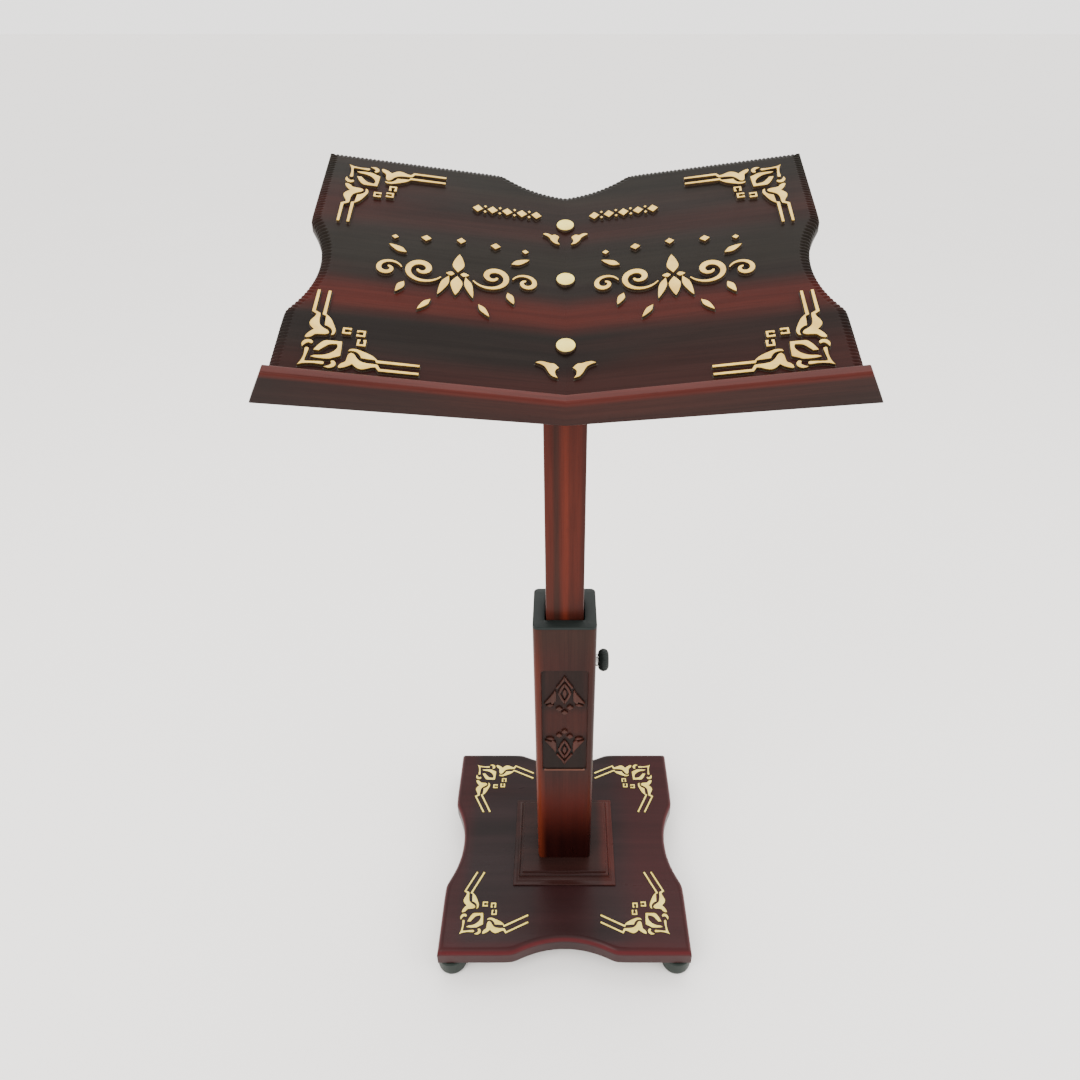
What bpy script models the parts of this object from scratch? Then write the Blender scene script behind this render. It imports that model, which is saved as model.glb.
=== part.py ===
"""Height-adjustable wooden stand for an open book, in metres, +Z up.

The origin is on the floor, on the column's axis. The reader stands on the -Y side.
A square base on four feet carries a hollow column. A square post slides in the column
and is held by a hand knob on the +X side. The post carries a sloping desk of two leaves
that meet in a shallow V, with a ledge along the front and raised gilt trim.
"""
import math

import bmesh
import bpy
from mathutils import Matrix, Vector

GAP = 0.0003                      # left between pieces that touch

# Base
BASE_WIDTH = 0.330
BASE_THICKNESS = 0.025
BASE_ROUND = 0.008                # round-over of the top edge
BASE_SCALLOP_RADIUS = 0.130
BASE_SCALLOP_DEPTH = 0.018
FOOT_HEIGHT = 0.026
FOOT_RADIUS = 0.0192
FOOT_INSET = 0.0164               # foot axis to the base's edges
PLINTH_WIDTH = 0.142
PLINTH_TOP_WIDTH = 0.116
PLINTH_HEIGHT = 0.014

# Column
COLUMN_WIDTH = 0.073
COLUMN_WALL = 0.01375
COLUMN_CHAMFER = 0.006
COLUMN_TOP = 0.486                # top of the cap plate above the floor
CAP_THICKNESS = 0.003
FOOT_BLOCK_HEIGHT = 0.030
PANEL_WIDTH = 0.055
PANEL_BOTTOM = 0.249
PANEL_TOP = 0.420
PANEL_DEPTH = 0.0025

# Post
POST_WIDTH = 0.043
POST_CHAMFER = 0.0015
POST_OVERLAP = 0.150              # length inside the column at rest

# Clamp
CLAMP_HEIGHT = 0.405
STUD_RADIUS = 0.00395
THREAD_CLEARANCE = 0.0003
KNOB_RADIUS = 0.0137
KNOB_THICKNESS = 0.0128
KNOB_ROUND = 0.002
HUB_RADIUS = 0.0075
HUB_THICKNESS = 0.0035
STUD_IN_KNOB = 0.0065
INSERT_RADIUS = 0.006
PAD_THICKNESS = 0.0035
PAD_RADIUS = 0.008
PAD_RECESS_DEPTH = 0.006

# Desk, in a frame tilted back about X, with its origin at the front of the fold line
FOLD_FRONT = Vector((0.0, -0.1401, 0.8026))
DESK_TILT = math.radians(22.4)
LEAF_RISE = math.radians(8.0)     # each leaf's slope up from the fold line
LEAF_WIDTH = 0.230
LEAF_LENGTH = 0.3035
LEAF_THICKNESS = 0.015
LEAF_CHAMFER = 0.004
WAIST_CENTRE = 0.1345             # along the leaf, from its front edge
WAIST_RADIUS = 0.106
WAIST_DEPTH = 0.018
CROWN_RADIUS = 0.089              # scallop at the fold line's upper end
CROWN_DEPTH = 0.0245
LEDGE_LIP = 0.0095                # ledge above the leaf's surface
LEDGE_DEPTH = 0.00975
LEDGE_FORWARD = 0.012
LEDGE_DROP_INNER = 0.0145
LEDGE_DROP_OUTER = 0.0225
LEDGE_FLARE = 0.013

# Under the desk
SADDLE_WIDTH = 0.120
SADDLE_FRONT = 0.082
SADDLE_BACK = 0.192
SADDLE_DROP = 0.050
RAIL_LENGTH = 0.300
RAIL_WIDTH = 0.020
RAIL_DROP = 0.038
RAIL_KEEL_WIDTH = 0.120
RAIL_END_HEIGHT = 0.014
RAIL_SCREW_SPACING = 0.210
DOWEL_SPACING = 0.024
DOWEL_RADIUS = 0.004
DOWEL_LENGTH = 0.036

# Trim
TRIM_HEIGHT = 0.0025
BASE_TRIM_HEIGHT = 0.0006
DISC_RADIUS = 0.0084
DISC_HEIGHT = 0.0036
DISC_POSITIONS = {"front": 0.062, "middle": 0.147, "rear": 0.226}
LEAF_TRIM_CORNER_S = 0.2075
LEAF_TRIM_REAR_T = 0.2795
LEAF_TRIM_FRONT_T = 0.0098
BASE_TRIM_CORNER = 0.140
SCROLL_SPAN = (0.022, 0.168)        # across the leaf
SCROLL_CENTRE = 0.137              # along the leaf
SCROLL_HALF_HEIGHT = 0.031
CHAIN_SPAN = (0.022, 0.089)
CHAIN_CENTRE = 0.236
CHAIN_HALF_HEIGHT = 0.006
FLAME_SPANS = {
    "rear": (0.006, 0.021, 0.1975, 0.2115),
    "front": (0.007, 0.0245, 0.0245, 0.0395),
}

# Wood screws
SCREW_HEAD_RADIUS = 0.0045
SCREW_SHANK_RADIUS = 0.00225
SCREW_HEAD_HEIGHT = 0.003
SCREW_CLEARANCE = 0.0004

PLATE_BOTTOM = FOOT_HEIGHT
PLATE_TOP = FOOT_HEIGHT + BASE_THICKNESS
PLINTH_TOP = PLATE_TOP + PLINTH_HEIGHT
COLUMN_HALF = COLUMN_WIDTH / 2
CAVITY_HALF = COLUMN_HALF - COLUMN_WALL
BOARD_BOTTOM = PLINTH_TOP + GAP
BOARD_TOP = COLUMN_TOP - CAP_THICKNESS - GAP
FOOT_OFFSET = BASE_WIDTH / 2 - FOOT_INSET


def clear_scene():
    for obj in list(bpy.data.objects):
        bpy.data.objects.remove(obj, do_unlink=True)


def make_collection(name):
    collection = bpy.data.collections.new(name)
    bpy.context.scene.collection.children.link(collection)
    return collection


def make_material(name, colour, roughness, metallic=0.0):
    material = bpy.data.materials.new(name)
    material.use_nodes = True
    shader = material.node_tree.nodes["Principled BSDF"]
    shader.inputs["Base Color"].default_value = (*colour, 1.0)
    shader.inputs["Roughness"].default_value = roughness
    shader.inputs["Metallic"].default_value = metallic
    material.diffuse_color = (*colour, 1.0)
    return material


clear_scene()
PARTS = make_collection("book_stand")
CUTTERS = make_collection("cutters")

MAHOGANY = make_material("mahogany", (0.090, 0.028, 0.022), 0.28)
DARK_WOOD = make_material("dark_wood", (0.060, 0.026, 0.022), 0.30)
RAW_WOOD = make_material("raw_wood", (0.300, 0.170, 0.090), 0.65)
BEECH = make_material("beech", (0.520, 0.360, 0.220), 0.60)
GILT = make_material("gilt", (0.780, 0.600, 0.320), 0.45)
PALE_GILT = make_material("pale_gilt", (0.820, 0.740, 0.480), 0.50)
BLACK_PLASTIC = make_material("black_plastic", (0.030, 0.035, 0.034), 0.40)
FOOT_PLASTIC = make_material("foot_plastic", (0.028, 0.036, 0.032), 0.50)
STEEL = make_material("steel", (0.600, 0.600, 0.600), 0.30, 1.0)
BRASS = make_material("brass", (0.700, 0.520, 0.240), 0.35, 1.0)


def add_object(name, mesh, material, parent=None):
    obj = bpy.data.objects.new(name, mesh)
    PARTS.objects.link(obj)
    obj.parent = parent
    obj.data.materials.clear()
    obj.data.materials.append(material)
    return obj


def add_cutter(name, mesh, parent=None):
    obj = bpy.data.objects.new(name, mesh)
    CUTTERS.objects.link(obj)
    obj.parent = parent
    obj.hide_render = True
    obj.display_type = "WIRE"
    return obj


def add_frame(name, parent=None, location=(0, 0, 0), rotation=(0, 0, 0)):
    empty = bpy.data.objects.new(name, None)
    PARTS.objects.link(empty)
    empty.parent = parent
    empty.location = location
    empty.rotation_euler = rotation
    return empty


def cut(obj, cutter):
    modifier = obj.modifiers.new("cut_" + cutter.name, "BOOLEAN")
    modifier.operation = "DIFFERENCE"
    modifier.solver = "EXACT"
    modifier.object = cutter


def mesh_from(bm, name):
    mesh = bpy.data.meshes.new(name)
    bm.normal_update()
    bm.to_mesh(mesh)
    bm.free()
    return mesh


def box_mesh(name, low, high):
    """A box between two opposite corners."""
    low = Vector(low)
    high = Vector(high)
    bm = bmesh.new()
    bmesh.ops.create_cube(bm, size=1.0)
    size = high - low
    bmesh.ops.scale(bm, vec=size, verts=bm.verts)
    bmesh.ops.translate(bm, vec=(low + high) / 2, verts=bm.verts)
    return mesh_from(bm, name)


def outline_mesh(name, points, bottom, top):
    """A flat outline in X and Y, raised from bottom to top."""
    curve = bpy.data.curves.new(name, "CURVE")
    curve.dimensions = "2D"
    curve.fill_mode = "BOTH"
    curve.extrude = (top - bottom) / 2
    spline = curve.splines.new("POLY")
    spline.points.add(len(points) - 1)
    for point, (x, y) in zip(spline.points, points):
        point.co = (x, y, 0.0, 1.0)
    spline.use_cyclic_u = True
    holder = bpy.data.objects.new(name + "_outline", curve)
    bpy.context.scene.collection.objects.link(holder)
    graph = bpy.context.evaluated_depsgraph_get()
    mesh = bpy.data.meshes.new_from_object(holder.evaluated_get(graph))
    bpy.data.objects.remove(holder, do_unlink=True)
    bm = bmesh.new()
    bm.from_mesh(mesh)
    bmesh.ops.remove_doubles(bm, verts=bm.verts, dist=1e-6)
    bmesh.ops.dissolve_limit(bm, angle_limit=0.001, verts=bm.verts, edges=bm.edges)
    bmesh.ops.recalc_face_normals(bm, faces=bm.faces)
    bmesh.ops.translate(bm, vec=(0, 0, (bottom + top) / 2), verts=bm.verts)
    bm.to_mesh(mesh)
    bm.free()
    return mesh


def bevel_edges(mesh, wanted, width, segments):
    """Rounds or chamfers the edges for which wanted(first, second) is true."""
    bm = bmesh.new()
    bm.from_mesh(mesh)
    edges = [edge for edge in bm.edges if wanted(edge.verts[0].co, edge.verts[1].co)]
    bmesh.ops.bevel(bm, geom=edges, offset=width, segments=segments, profile=0.5,
                    affect="EDGES", clamp_overlap=True)
    bm.to_mesh(mesh)
    bm.free()
    return mesh


def trim_mesh(mesh, point, normal):
    """Cuts off the side that the normal points to and closes the cut."""
    bm = bmesh.new()
    bm.from_mesh(mesh)
    geometry = list(bm.verts) + list(bm.edges) + list(bm.faces)
    bmesh.ops.bisect_plane(bm, geom=geometry, dist=1e-7, plane_co=point, plane_no=normal,
                           clear_outer=True)
    rim = [edge for edge in bm.edges if edge.is_boundary]
    bmesh.ops.holes_fill(bm, edges=rim, sides=0)
    bmesh.ops.recalc_face_normals(bm, faces=bm.faces)
    bm.to_mesh(mesh)
    bm.free()
    return mesh


def mirrored(mesh):
    """A copy reflected in the plane X = 0."""
    copy = mesh.copy()
    copy.transform(Matrix.Scale(-1.0, 4, (1.0, 0.0, 0.0)))
    copy.flip_normals()
    return copy


def turn(obj, steps, closed=False):
    """Spins an object's profile about its own Z axis."""
    screw = obj.modifiers.new("turn", "SCREW")
    screw.steps = steps
    screw.render_steps = steps
    screw.use_merge_vertices = True
    screw.merge_threshold = 1e-6
    if closed:
        screw.use_normal_calculate = False
    return obj


def profile_mesh(name, points, closed=False):
    """A profile in the XZ plane, listed from top to bottom along its outer side."""
    mesh = bpy.data.meshes.new(name)
    count = len(points)
    edges = [(index, index + 1) for index in range(count - 1)]
    if closed:
        edges.append((count - 1, 0))
    mesh.from_pydata([(radius, 0.0, height) for radius, height in points], edges, [])
    return mesh


def turned_object(name, points, material, parent=None, steps=24, closed=False):
    obj = add_object(name, profile_mesh(name, points, closed), material, parent)
    return turn(obj, steps, closed)


def turned_cutter(name, points, parent=None, steps=24):
    obj = add_cutter(name, profile_mesh(name, points), parent)
    return turn(obj, steps)


def scallop(half_chord_centre, radius, depth, steps):
    """Offsets (along, inward) of a circular scallop, from one end of its chord to the other."""
    half_angle = math.acos((radius - depth) / radius)
    points = []
    for step in range(steps + 1):
        angle = half_angle * (2 * step / steps - 1)
        along = radius * math.sin(angle)
        inward = radius * math.cos(angle) - (radius - depth)
        points.append((half_chord_centre + along, inward))
    return points


def place(obj, location=(0, 0, 0), rotation=(0, 0, 0)):
    obj.location = location
    obj.rotation_euler = rotation
    return obj


# ---------------------------------------------------------------- base

def base_outline():
    """A square with a scallop in the middle of each side, counter-clockwise."""
    half = BASE_WIDTH / 2
    side = [(-half, -half)]
    for along, inward in scallop(0.0, BASE_SCALLOP_RADIUS, BASE_SCALLOP_DEPTH, 10):
        side.append((along, -half + inward))
    points = []
    for quarter in range(4):
        turned = Matrix.Rotation(quarter * math.pi / 2, 2)
        points += [tuple(turned @ Vector(point)) for point in side]
    return points


def make_base_plate():
    mesh = outline_mesh("base_plate", base_outline(), PLATE_BOTTOM, PLATE_TOP)
    on_top = PLATE_TOP - 1e-5
    bevel_edges(mesh, lambda a, b: a.z > on_top and b.z > on_top, BASE_ROUND, 3)
    return add_object("base_plate", mesh, MAHOGANY)


def make_feet(base_plate):
    """Round glides, each held by a screw whose head sits in a counterbore."""
    shelf = 0.012
    bore = SCREW_SHANK_RADIUS + SCREW_CLEARANCE
    profile = [
        (bore, FOOT_HEIGHT - GAP), (FOOT_RADIUS, FOOT_HEIGHT - GAP), (FOOT_RADIUS, 0.008),
        (FOOT_RADIUS - 0.0015, 0.003), (FOOT_RADIUS - 0.0045, 0.0),
        (0.0062, 0.0), (0.0062, shelf), (bore, shelf),
    ]
    depth_in_plate = 0.015
    head_bottom = shelf - GAP - SCREW_HEAD_HEIGHT
    tip = PLATE_BOTTOM + depth_in_plate
    screw = [
        (0.0, tip), (0.0012, tip - 0.001), (SCREW_SHANK_RADIUS, tip - 0.005),
        (SCREW_SHANK_RADIUS, shelf - GAP), (SCREW_HEAD_RADIUS, shelf - GAP),
        (SCREW_HEAD_RADIUS, head_bottom + 0.001), (0.003, head_bottom), (0.0, head_bottom),
    ]
    for side, x in (("left", -FOOT_OFFSET), ("right", FOOT_OFFSET)):
        for end, y in (("front", -FOOT_OFFSET), ("rear", FOOT_OFFSET)):
            label = end + "_" + side
            foot = turned_object("foot_" + label, profile, FOOT_PLASTIC, steps=32, closed=True)
            place(foot, (x, y, 0))
            place(turned_object("foot_screw_" + label, screw, STEEL, steps=16), (x, y, 0))
            hole = turned_cutter("foot_hole_" + label, [
                (0.0, tip + GAP), (bore, tip + GAP),
                (bore, FOOT_HEIGHT - 0.005), (0.0, FOOT_HEIGHT - 0.005),
            ], steps=16)
            place(hole, (x, y, 0))
            cut(base_plate, hole)


def make_plinth():
    """A square moulding: a turned profile of four steps, with a cove between two fillets."""
    corner = math.sqrt(2.0)
    low = PLATE_TOP + GAP
    half = PLINTH_WIDTH / 2
    top_half = PLINTH_TOP_WIDTH / 2
    fillet = 0.002
    lip = 0.0035
    cove = []
    cove_top = PLINTH_TOP - lip
    cove_bottom = low + fillet
    for step in range(5):
        angle = step / 4 * math.pi / 2
        reach = top_half + 0.003 + (half - 0.003 - top_half - 0.003) * (1 - math.cos(angle))
        cove.append((reach, cove_top - (cove_top - cove_bottom) * math.sin(angle)))
    points = [(0.0, PLINTH_TOP), (top_half, PLINTH_TOP), (top_half, cove_top)]
    points += cove
    points += [(half, cove_bottom), (half, low), (0.0, low)]
    outline = [(reach * corner, height) for reach, height in points]
    plinth = turned_object("plinth", outline, MAHOGANY, steps=4)
    return place(plinth, rotation=(0, 0, math.pi / 4))


def make_foot_block():
    reach = CAVITY_HALF - GAP
    mesh = box_mesh("column_foot_block", (-reach, -reach, BOARD_BOTTOM),
                    (reach, reach, PLINTH_TOP + FOOT_BLOCK_HEIGHT))
    return add_object("column_foot_block", mesh, BEECH)


def make_base_bolts(base_plate, plinth, foot_block):
    """Two bolts that come up from under the base into the block inside the column."""
    radius = 0.00395
    head_radius = 0.007
    head_bottom = PLATE_BOTTOM + 0.001
    head_top = head_bottom + 0.005
    tip = PLINTH_TOP + 0.022
    bolt = [
        (0.0, tip), (radius - 0.001, tip), (radius, tip - 0.001), (radius, head_top),
        (head_radius, head_top), (head_radius, head_bottom), (0.0, head_bottom),
    ]
    hole = [
        (0.0, tip + 0.001), (radius + GAP, tip + 0.001), (radius + GAP, head_top + GAP),
        (head_radius + 0.0015, head_top + GAP), (head_radius + 0.0015, PLATE_BOTTOM - 0.005),
        (0.0, PLATE_BOTTOM - 0.005),
    ]
    for side, x in (("left", -0.012), ("right", 0.012)):
        place(turned_object("base_bolt_" + side, bolt, STEEL, steps=20), (x, 0, 0))
        cutter = turned_cutter("base_bolt_hole_" + side, hole, steps=20)
        place(cutter, (x, 0, 0))
        for piece in (base_plate, plinth, foot_block):
            cut(piece, cutter)


# ---------------------------------------------------------------- column

def make_column_boards():
    """Four glued boards: front and rear run the full width, the sides fit between them."""
    half = COLUMN_HALF
    inner = CAVITY_HALF
    boards = {}
    for label, sign in (("front", -1), ("rear", 1)):
        faces = sorted((sign * inner, sign * half))
        mesh = box_mesh("column_" + label, (-half, faces[0], BOARD_BOTTOM),
                        (half, faces[1], BOARD_TOP))
        outer = sign * half

        def on_outer_corner(a, b):
            upright = abs(a.x - b.x) < 1e-6 and abs(a.y - b.y) < 1e-6
            return upright and abs(a.y - outer) < 1e-6

        bevel_edges(mesh, on_outer_corner, COLUMN_CHAMFER, 2)
        boards[label] = add_object("column_%s_board" % label, mesh, MAHOGANY)
    reach = inner - GAP
    for label, sign in (("left", -1), ("right", 1)):
        faces = sorted((sign * inner, sign * half))
        mesh = box_mesh("column_" + label, (faces[0], -reach, BOARD_BOTTOM),
                        (faces[1], reach, BOARD_TOP))
        boards[label] = add_object("column_%s_board" % label, mesh, MAHOGANY)
    return boards


def cut_front_panel(front_board):
    """The sunk panel in the front board, with rounded upper corners."""
    half = PANEL_WIDTH / 2
    radius = 0.005
    points = [(-half, PANEL_BOTTOM), (half, PANEL_BOTTOM)]
    for centre, start in ((half - radius, 0.0), (-half + radius, math.pi / 2)):
        for step in range(4):
            angle = start + step / 3 * math.pi / 2
            points.append((centre + radius * math.cos(angle),
                           PANEL_TOP - radius + radius * math.sin(angle)))
    mesh = outline_mesh("front_panel", points, 0.0, PANEL_DEPTH + 0.005)
    cutter = add_cutter("front_panel", mesh)
    place(cutter, (0, -COLUMN_HALF + PANEL_DEPTH, 0), (math.pi / 2, 0, 0))
    cut(front_board, cutter)


def make_cap_plate():
    half = COLUMN_HALF
    mesh = box_mesh("column_cap_plate", (-half, -half, COLUMN_TOP - CAP_THICKNESS),
                    (half, half, COLUMN_TOP))
    bevel_edges(mesh, lambda a, b: abs(a.z - b.z) > 1e-4, COLUMN_CHAMFER, 3)
    plate = add_object("column_cap_plate", mesh, BLACK_PLASTIC)
    opening = box_mesh("cap_opening", (-CAVITY_HALF, -CAVITY_HALF, COLUMN_TOP - 0.01),
                       (CAVITY_HALF, CAVITY_HALF, COLUMN_TOP + 0.01))
    cut(plate, add_cutter("cap_opening", opening))


# ---------------------------------------------------------------- clamp

def make_clamp(right_board):
    """A knob and stud in a threaded insert; the stud's pad presses on the post's side."""
    axis = add_frame("clamp_axis", None, (0, 0, CLAMP_HEIGHT), (0, math.pi / 2, 0))
    bore = STUD_RADIUS + THREAD_CLEARANCE
    recess_bottom = CAVITY_HALF + PAD_RECESS_DEPTH
    hole = turned_cutter("clamp_hole", [
        (0.0, COLUMN_HALF + 0.005), (INSERT_RADIUS + GAP, COLUMN_HALF + 0.005),
        (INSERT_RADIUS + GAP, recess_bottom), (PAD_RADIUS + 0.0005, recess_bottom),
        (PAD_RADIUS + 0.0005, CAVITY_HALF - 0.005), (0.0, CAVITY_HALF - 0.005),
    ], axis)
    cut(right_board, hole)
    turned_object("clamp_insert", [
        (bore, COLUMN_HALF - GAP), (INSERT_RADIUS, COLUMN_HALF - GAP),
        (INSERT_RADIUS, recess_bottom + GAP), (bore, recess_bottom + GAP),
    ], BRASS, axis, closed=True)
    pad_inner = POST_WIDTH / 2 + GAP
    pad_outer = pad_inner + PAD_THICKNESS
    turned_object("clamp_pad", [
        (0.0, pad_outer), (PAD_RADIUS, pad_outer), (PAD_RADIUS, pad_inner), (0.0, pad_inner),
    ], STEEL, axis)
    hub_inner = COLUMN_HALF + GAP
    hub_outer = hub_inner + HUB_THICKNESS
    knob_inner = hub_outer + GAP
    knob_outer = knob_inner + KNOB_THICKNESS
    stud_outer = knob_inner + STUD_IN_KNOB
    turned_object("clamp_stud", [
        (0.0, stud_outer), (STUD_RADIUS, stud_outer),
        (STUD_RADIUS, pad_outer + GAP + 0.0006), (STUD_RADIUS - 0.0006, pad_outer + GAP),
        (0.0, pad_outer + GAP),
    ], STEEL, axis)
    turned_object("clamp_hub", [
        (bore, hub_outer), (HUB_RADIUS, hub_outer), (HUB_RADIUS, hub_inner), (bore, hub_inner),
    ], STEEL, axis, closed=True)
    rim = KNOB_ROUND
    turned_object("clamp_knob", [
        (0.0, knob_outer), (KNOB_RADIUS - rim, knob_outer),
        (KNOB_RADIUS - 0.3 * rim, knob_outer - 0.3 * rim), (KNOB_RADIUS, knob_outer - rim),
        (KNOB_RADIUS, knob_inner + rim), (KNOB_RADIUS - 0.3 * rim, knob_inner + 0.3 * rim),
        (KNOB_RADIUS - rim, knob_inner), (bore, knob_inner), (bore, stud_outer + GAP),
        (0.0, stud_outer + GAP),
    ], BLACK_PLASTIC, axis, steps=32)


# ---------------------------------------------------------------- desk

DESK = add_frame("desk_frame", None, FOLD_FRONT, (DESK_TILT, 0, 0))
LEAF_FRAMES = {
    "right": add_frame("right_leaf_frame", DESK, rotation=(0, -LEAF_RISE, 0)),
    "left": add_frame("left_leaf_frame", DESK, rotation=(0, LEAF_RISE, 0)),
}
MITRE_NORMAL = Vector((-math.cos(LEAF_RISE), 0, math.sin(LEAF_RISE)))
MITRE_POINT = Vector((GAP / 2, 0, 0))


def add_pair(name, mesh, material):
    """The right-hand piece in its leaf's frame, and its mirror image on the left leaf."""
    right = add_object("right_" + name, mesh, material, LEAF_FRAMES["right"])
    left = add_object("left_" + name, mirrored(mesh), material, LEAF_FRAMES["left"])
    return right, left


def underside(x):
    """Height of the leaves' underside in the desk frame, x away from the fold line."""
    return abs(x) * math.tan(LEAF_RISE) - LEAF_THICKNESS / math.cos(LEAF_RISE) - GAP


def leaf_outline():
    """The right leaf, from its inner front corner, counter-clockwise."""
    inner = -0.004
    points = [(inner, 0.0), (LEAF_WIDTH, 0.0)]
    for along, inward in scallop(WAIST_CENTRE, WAIST_RADIUS, WAIST_DEPTH, 10):
        points.append((LEAF_WIDTH - inward, along))
    points.append((LEAF_WIDTH, LEAF_LENGTH))
    crown = scallop(0.0, CROWN_RADIUS, CROWN_DEPTH, 16)
    for along, inward in reversed(crown):
        if along > inner:
            points.append((along, LEAF_LENGTH - inward))
    points.append((inner, LEAF_LENGTH - CROWN_DEPTH))
    return points


def make_leaves():
    mesh = outline_mesh("leaf", leaf_outline(), -LEAF_THICKNESS, 0.0)

    def on_outer_rim(a, b):
        on_top = a.z > -1e-6 and b.z > -1e-6
        return on_top and max(a.x, b.x) > 0.001 and max(a.y, b.y) > 0.001

    bevel_edges(mesh, on_outer_rim, LEAF_CHAMFER, 1)
    trim_mesh(mesh, MITRE_POINT, MITRE_NORMAL)
    return add_pair("leaf", mesh, DARK_WOOD)


def make_ledges():
    """A lip along the front edge: it leans forward, and its outer end flares downwards."""
    inner = -0.012
    top_end = LEAF_WIDTH
    corners = {
        (-1, -1, -1): (inner, -LEDGE_FORWARD, -LEDGE_DROP_INNER),
        (-1, -1, 1): (inner, -LEDGE_DEPTH, LEDGE_LIP),
        (-1, 1, -1): (inner, -GAP, -LEDGE_DROP_INNER),
        (-1, 1, 1): (inner, -GAP, LEDGE_LIP),
        (1, -1, -1): (top_end + LEDGE_FLARE, -LEDGE_FORWARD, -LEDGE_DROP_OUTER),
        (1, -1, 1): (top_end, -LEDGE_DEPTH, LEDGE_LIP),
        (1, 1, -1): (top_end + LEDGE_FLARE, -GAP, -LEDGE_DROP_OUTER),
        (1, 1, 1): (top_end, -GAP, LEDGE_LIP),
    }
    bm = bmesh.new()
    bmesh.ops.create_cube(bm, size=2.0)
    for vertex in bm.verts:
        vertex.co = corners[tuple(round(value) for value in vertex.co)]
    bmesh.ops.triangulate(bm, faces=bm.faces)
    mesh = mesh_from(bm, "ledge")
    trim_mesh(mesh, MITRE_POINT, MITRE_NORMAL)
    return add_pair("ledge", mesh, MAHOGANY)


def make_saddle():
    """The block between the post and the leaves, with a V cut in its top."""
    half = SADDLE_WIDTH / 2
    foot_half = POST_WIDTH / 2 + 0.012
    points = [
        (-half, underside(half)), (-half, -SADDLE_DROP + 0.012), (-foot_half, -SADDLE_DROP),
        (foot_half, -SADDLE_DROP), (half, -SADDLE_DROP + 0.012), (half, underside(half)),
        (0.0, underside(0.0)),
    ]
    mesh = outline_mesh("desk_saddle", points, -SADDLE_BACK, -SADDLE_FRONT)
    saddle = add_object("desk_saddle", mesh, RAW_WOOD, DESK)
    return place(saddle, rotation=(math.pi / 2, 0, 0))


def make_rail(label):
    half = RAIL_LENGTH / 2
    keel = RAIL_KEEL_WIDTH / 2
    end_bottom = underside(half) - RAIL_END_HEIGHT
    points = [
        (-half, underside(half)), (-half, end_bottom), (-keel, -RAIL_DROP), (keel, -RAIL_DROP),
        (half, end_bottom), (half, underside(half)), (0.0, underside(0.0)),
    ]
    centre = DISC_POSITIONS[label]
    mesh = outline_mesh(label + "_rail", points, -centre - RAIL_WIDTH / 2, -centre + RAIL_WIDTH / 2)
    rail = add_object(label + "_rail", mesh, RAW_WOOD, DESK)
    return place(rail, rotation=(math.pi / 2, 0, 0))


def make_post():
    """The square post; its top is cut parallel to the saddle's underside."""
    half = POST_WIDTH / 2
    mesh = box_mesh("inner_post", (-half, -half, COLUMN_TOP - POST_OVERLAP),
                    (half, half, FOLD_FRONT.z + 0.1))
    bevel_edges(mesh, lambda a, b: abs(a.z - b.z) > 0.1, POST_CHAMFER, 1)
    desk_up = Vector((0, -math.sin(DESK_TILT), math.cos(DESK_TILT)))
    trim_mesh(mesh, FOLD_FRONT - desk_up * (SADDLE_DROP + GAP), desk_up)
    return add_object("inner_post", mesh, MAHOGANY)


def post_position(drop):
    """Where the post's axis crosses the desk frame, this far under the fold line."""
    rise = (-FOLD_FRONT.y * math.sin(DESK_TILT) - drop) / math.cos(DESK_TILT)
    return -FOLD_FRONT.y * math.cos(DESK_TILT) + rise * math.sin(DESK_TILT)


def screw_points(length, head_top=0.0):
    """A countersunk wood screw that points down."""
    shoulder = head_top - SCREW_HEAD_HEIGHT
    tip = head_top - length
    return [
        (0.0, head_top), (SCREW_HEAD_RADIUS, head_top), (SCREW_SHANK_RADIUS, shoulder),
        (SCREW_SHANK_RADIUS, tip + 0.004), (0.0008, tip), (0.0, tip),
    ]


def screw_hole_points(length, reach):
    """The hole for such a screw, open for the given reach above its head."""
    head = SCREW_HEAD_RADIUS + SCREW_CLEARANCE
    shank = SCREW_SHANK_RADIUS + SCREW_CLEARANCE
    shoulder = -SCREW_HEAD_HEIGHT - SCREW_CLEARANCE
    return [
        (0.0, reach), (head, reach), (head, -SCREW_CLEARANCE), (shank, shoulder),
        (shank, -length - 0.001), (0.0, -length - 0.001),
    ]


def make_fold_screws(leaves, rails, saddle):
    """Three screws down through the fold line, each hidden by a disc."""
    lengths = {"front": 0.034, "middle": 0.045, "rear": 0.034}
    holders = {"front": rails["front"], "middle": saddle, "rear": rails["rear"]}
    head_top = -0.0008
    for label, position in DISC_POSITIONS.items():
        place(turned_object("fold_screw_" + label, screw_points(lengths[label]), STEEL, DESK, 16),
              (0, position, head_top))
        hole = turned_cutter("fold_hole_" + label, screw_hole_points(lengths[label], 0.01), DESK, 16)
        place(hole, (0, position, head_top))
        for piece in (*leaves, holders[label]):
            cut(piece, hole)


def make_rail_screws(leaves, rails):
    """Screws up through each rail into the leaves."""
    x = RAIL_SCREW_SPACING / 2
    length = 0.024
    head_height = underside(x) - 0.015
    for label in ("front", "rear"):
        for side, sign, leaf in (("right", 1, leaves[0]), ("left", -1, leaves[1])):
            name = "%s_%s" % (label, side)
            where = (sign * x, DISC_POSITIONS[label], head_height)
            place(turned_object("rail_screw_" + name, screw_points(length), STEEL, DESK, 16),
                  where, (math.pi, 0, 0))
            hole = turned_cutter("rail_hole_" + name, screw_hole_points(length, 0.02), DESK, 16)
            place(hole, where, (math.pi, 0, 0))
            cut(rails[label], hole)
            cut(leaf, hole)


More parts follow.
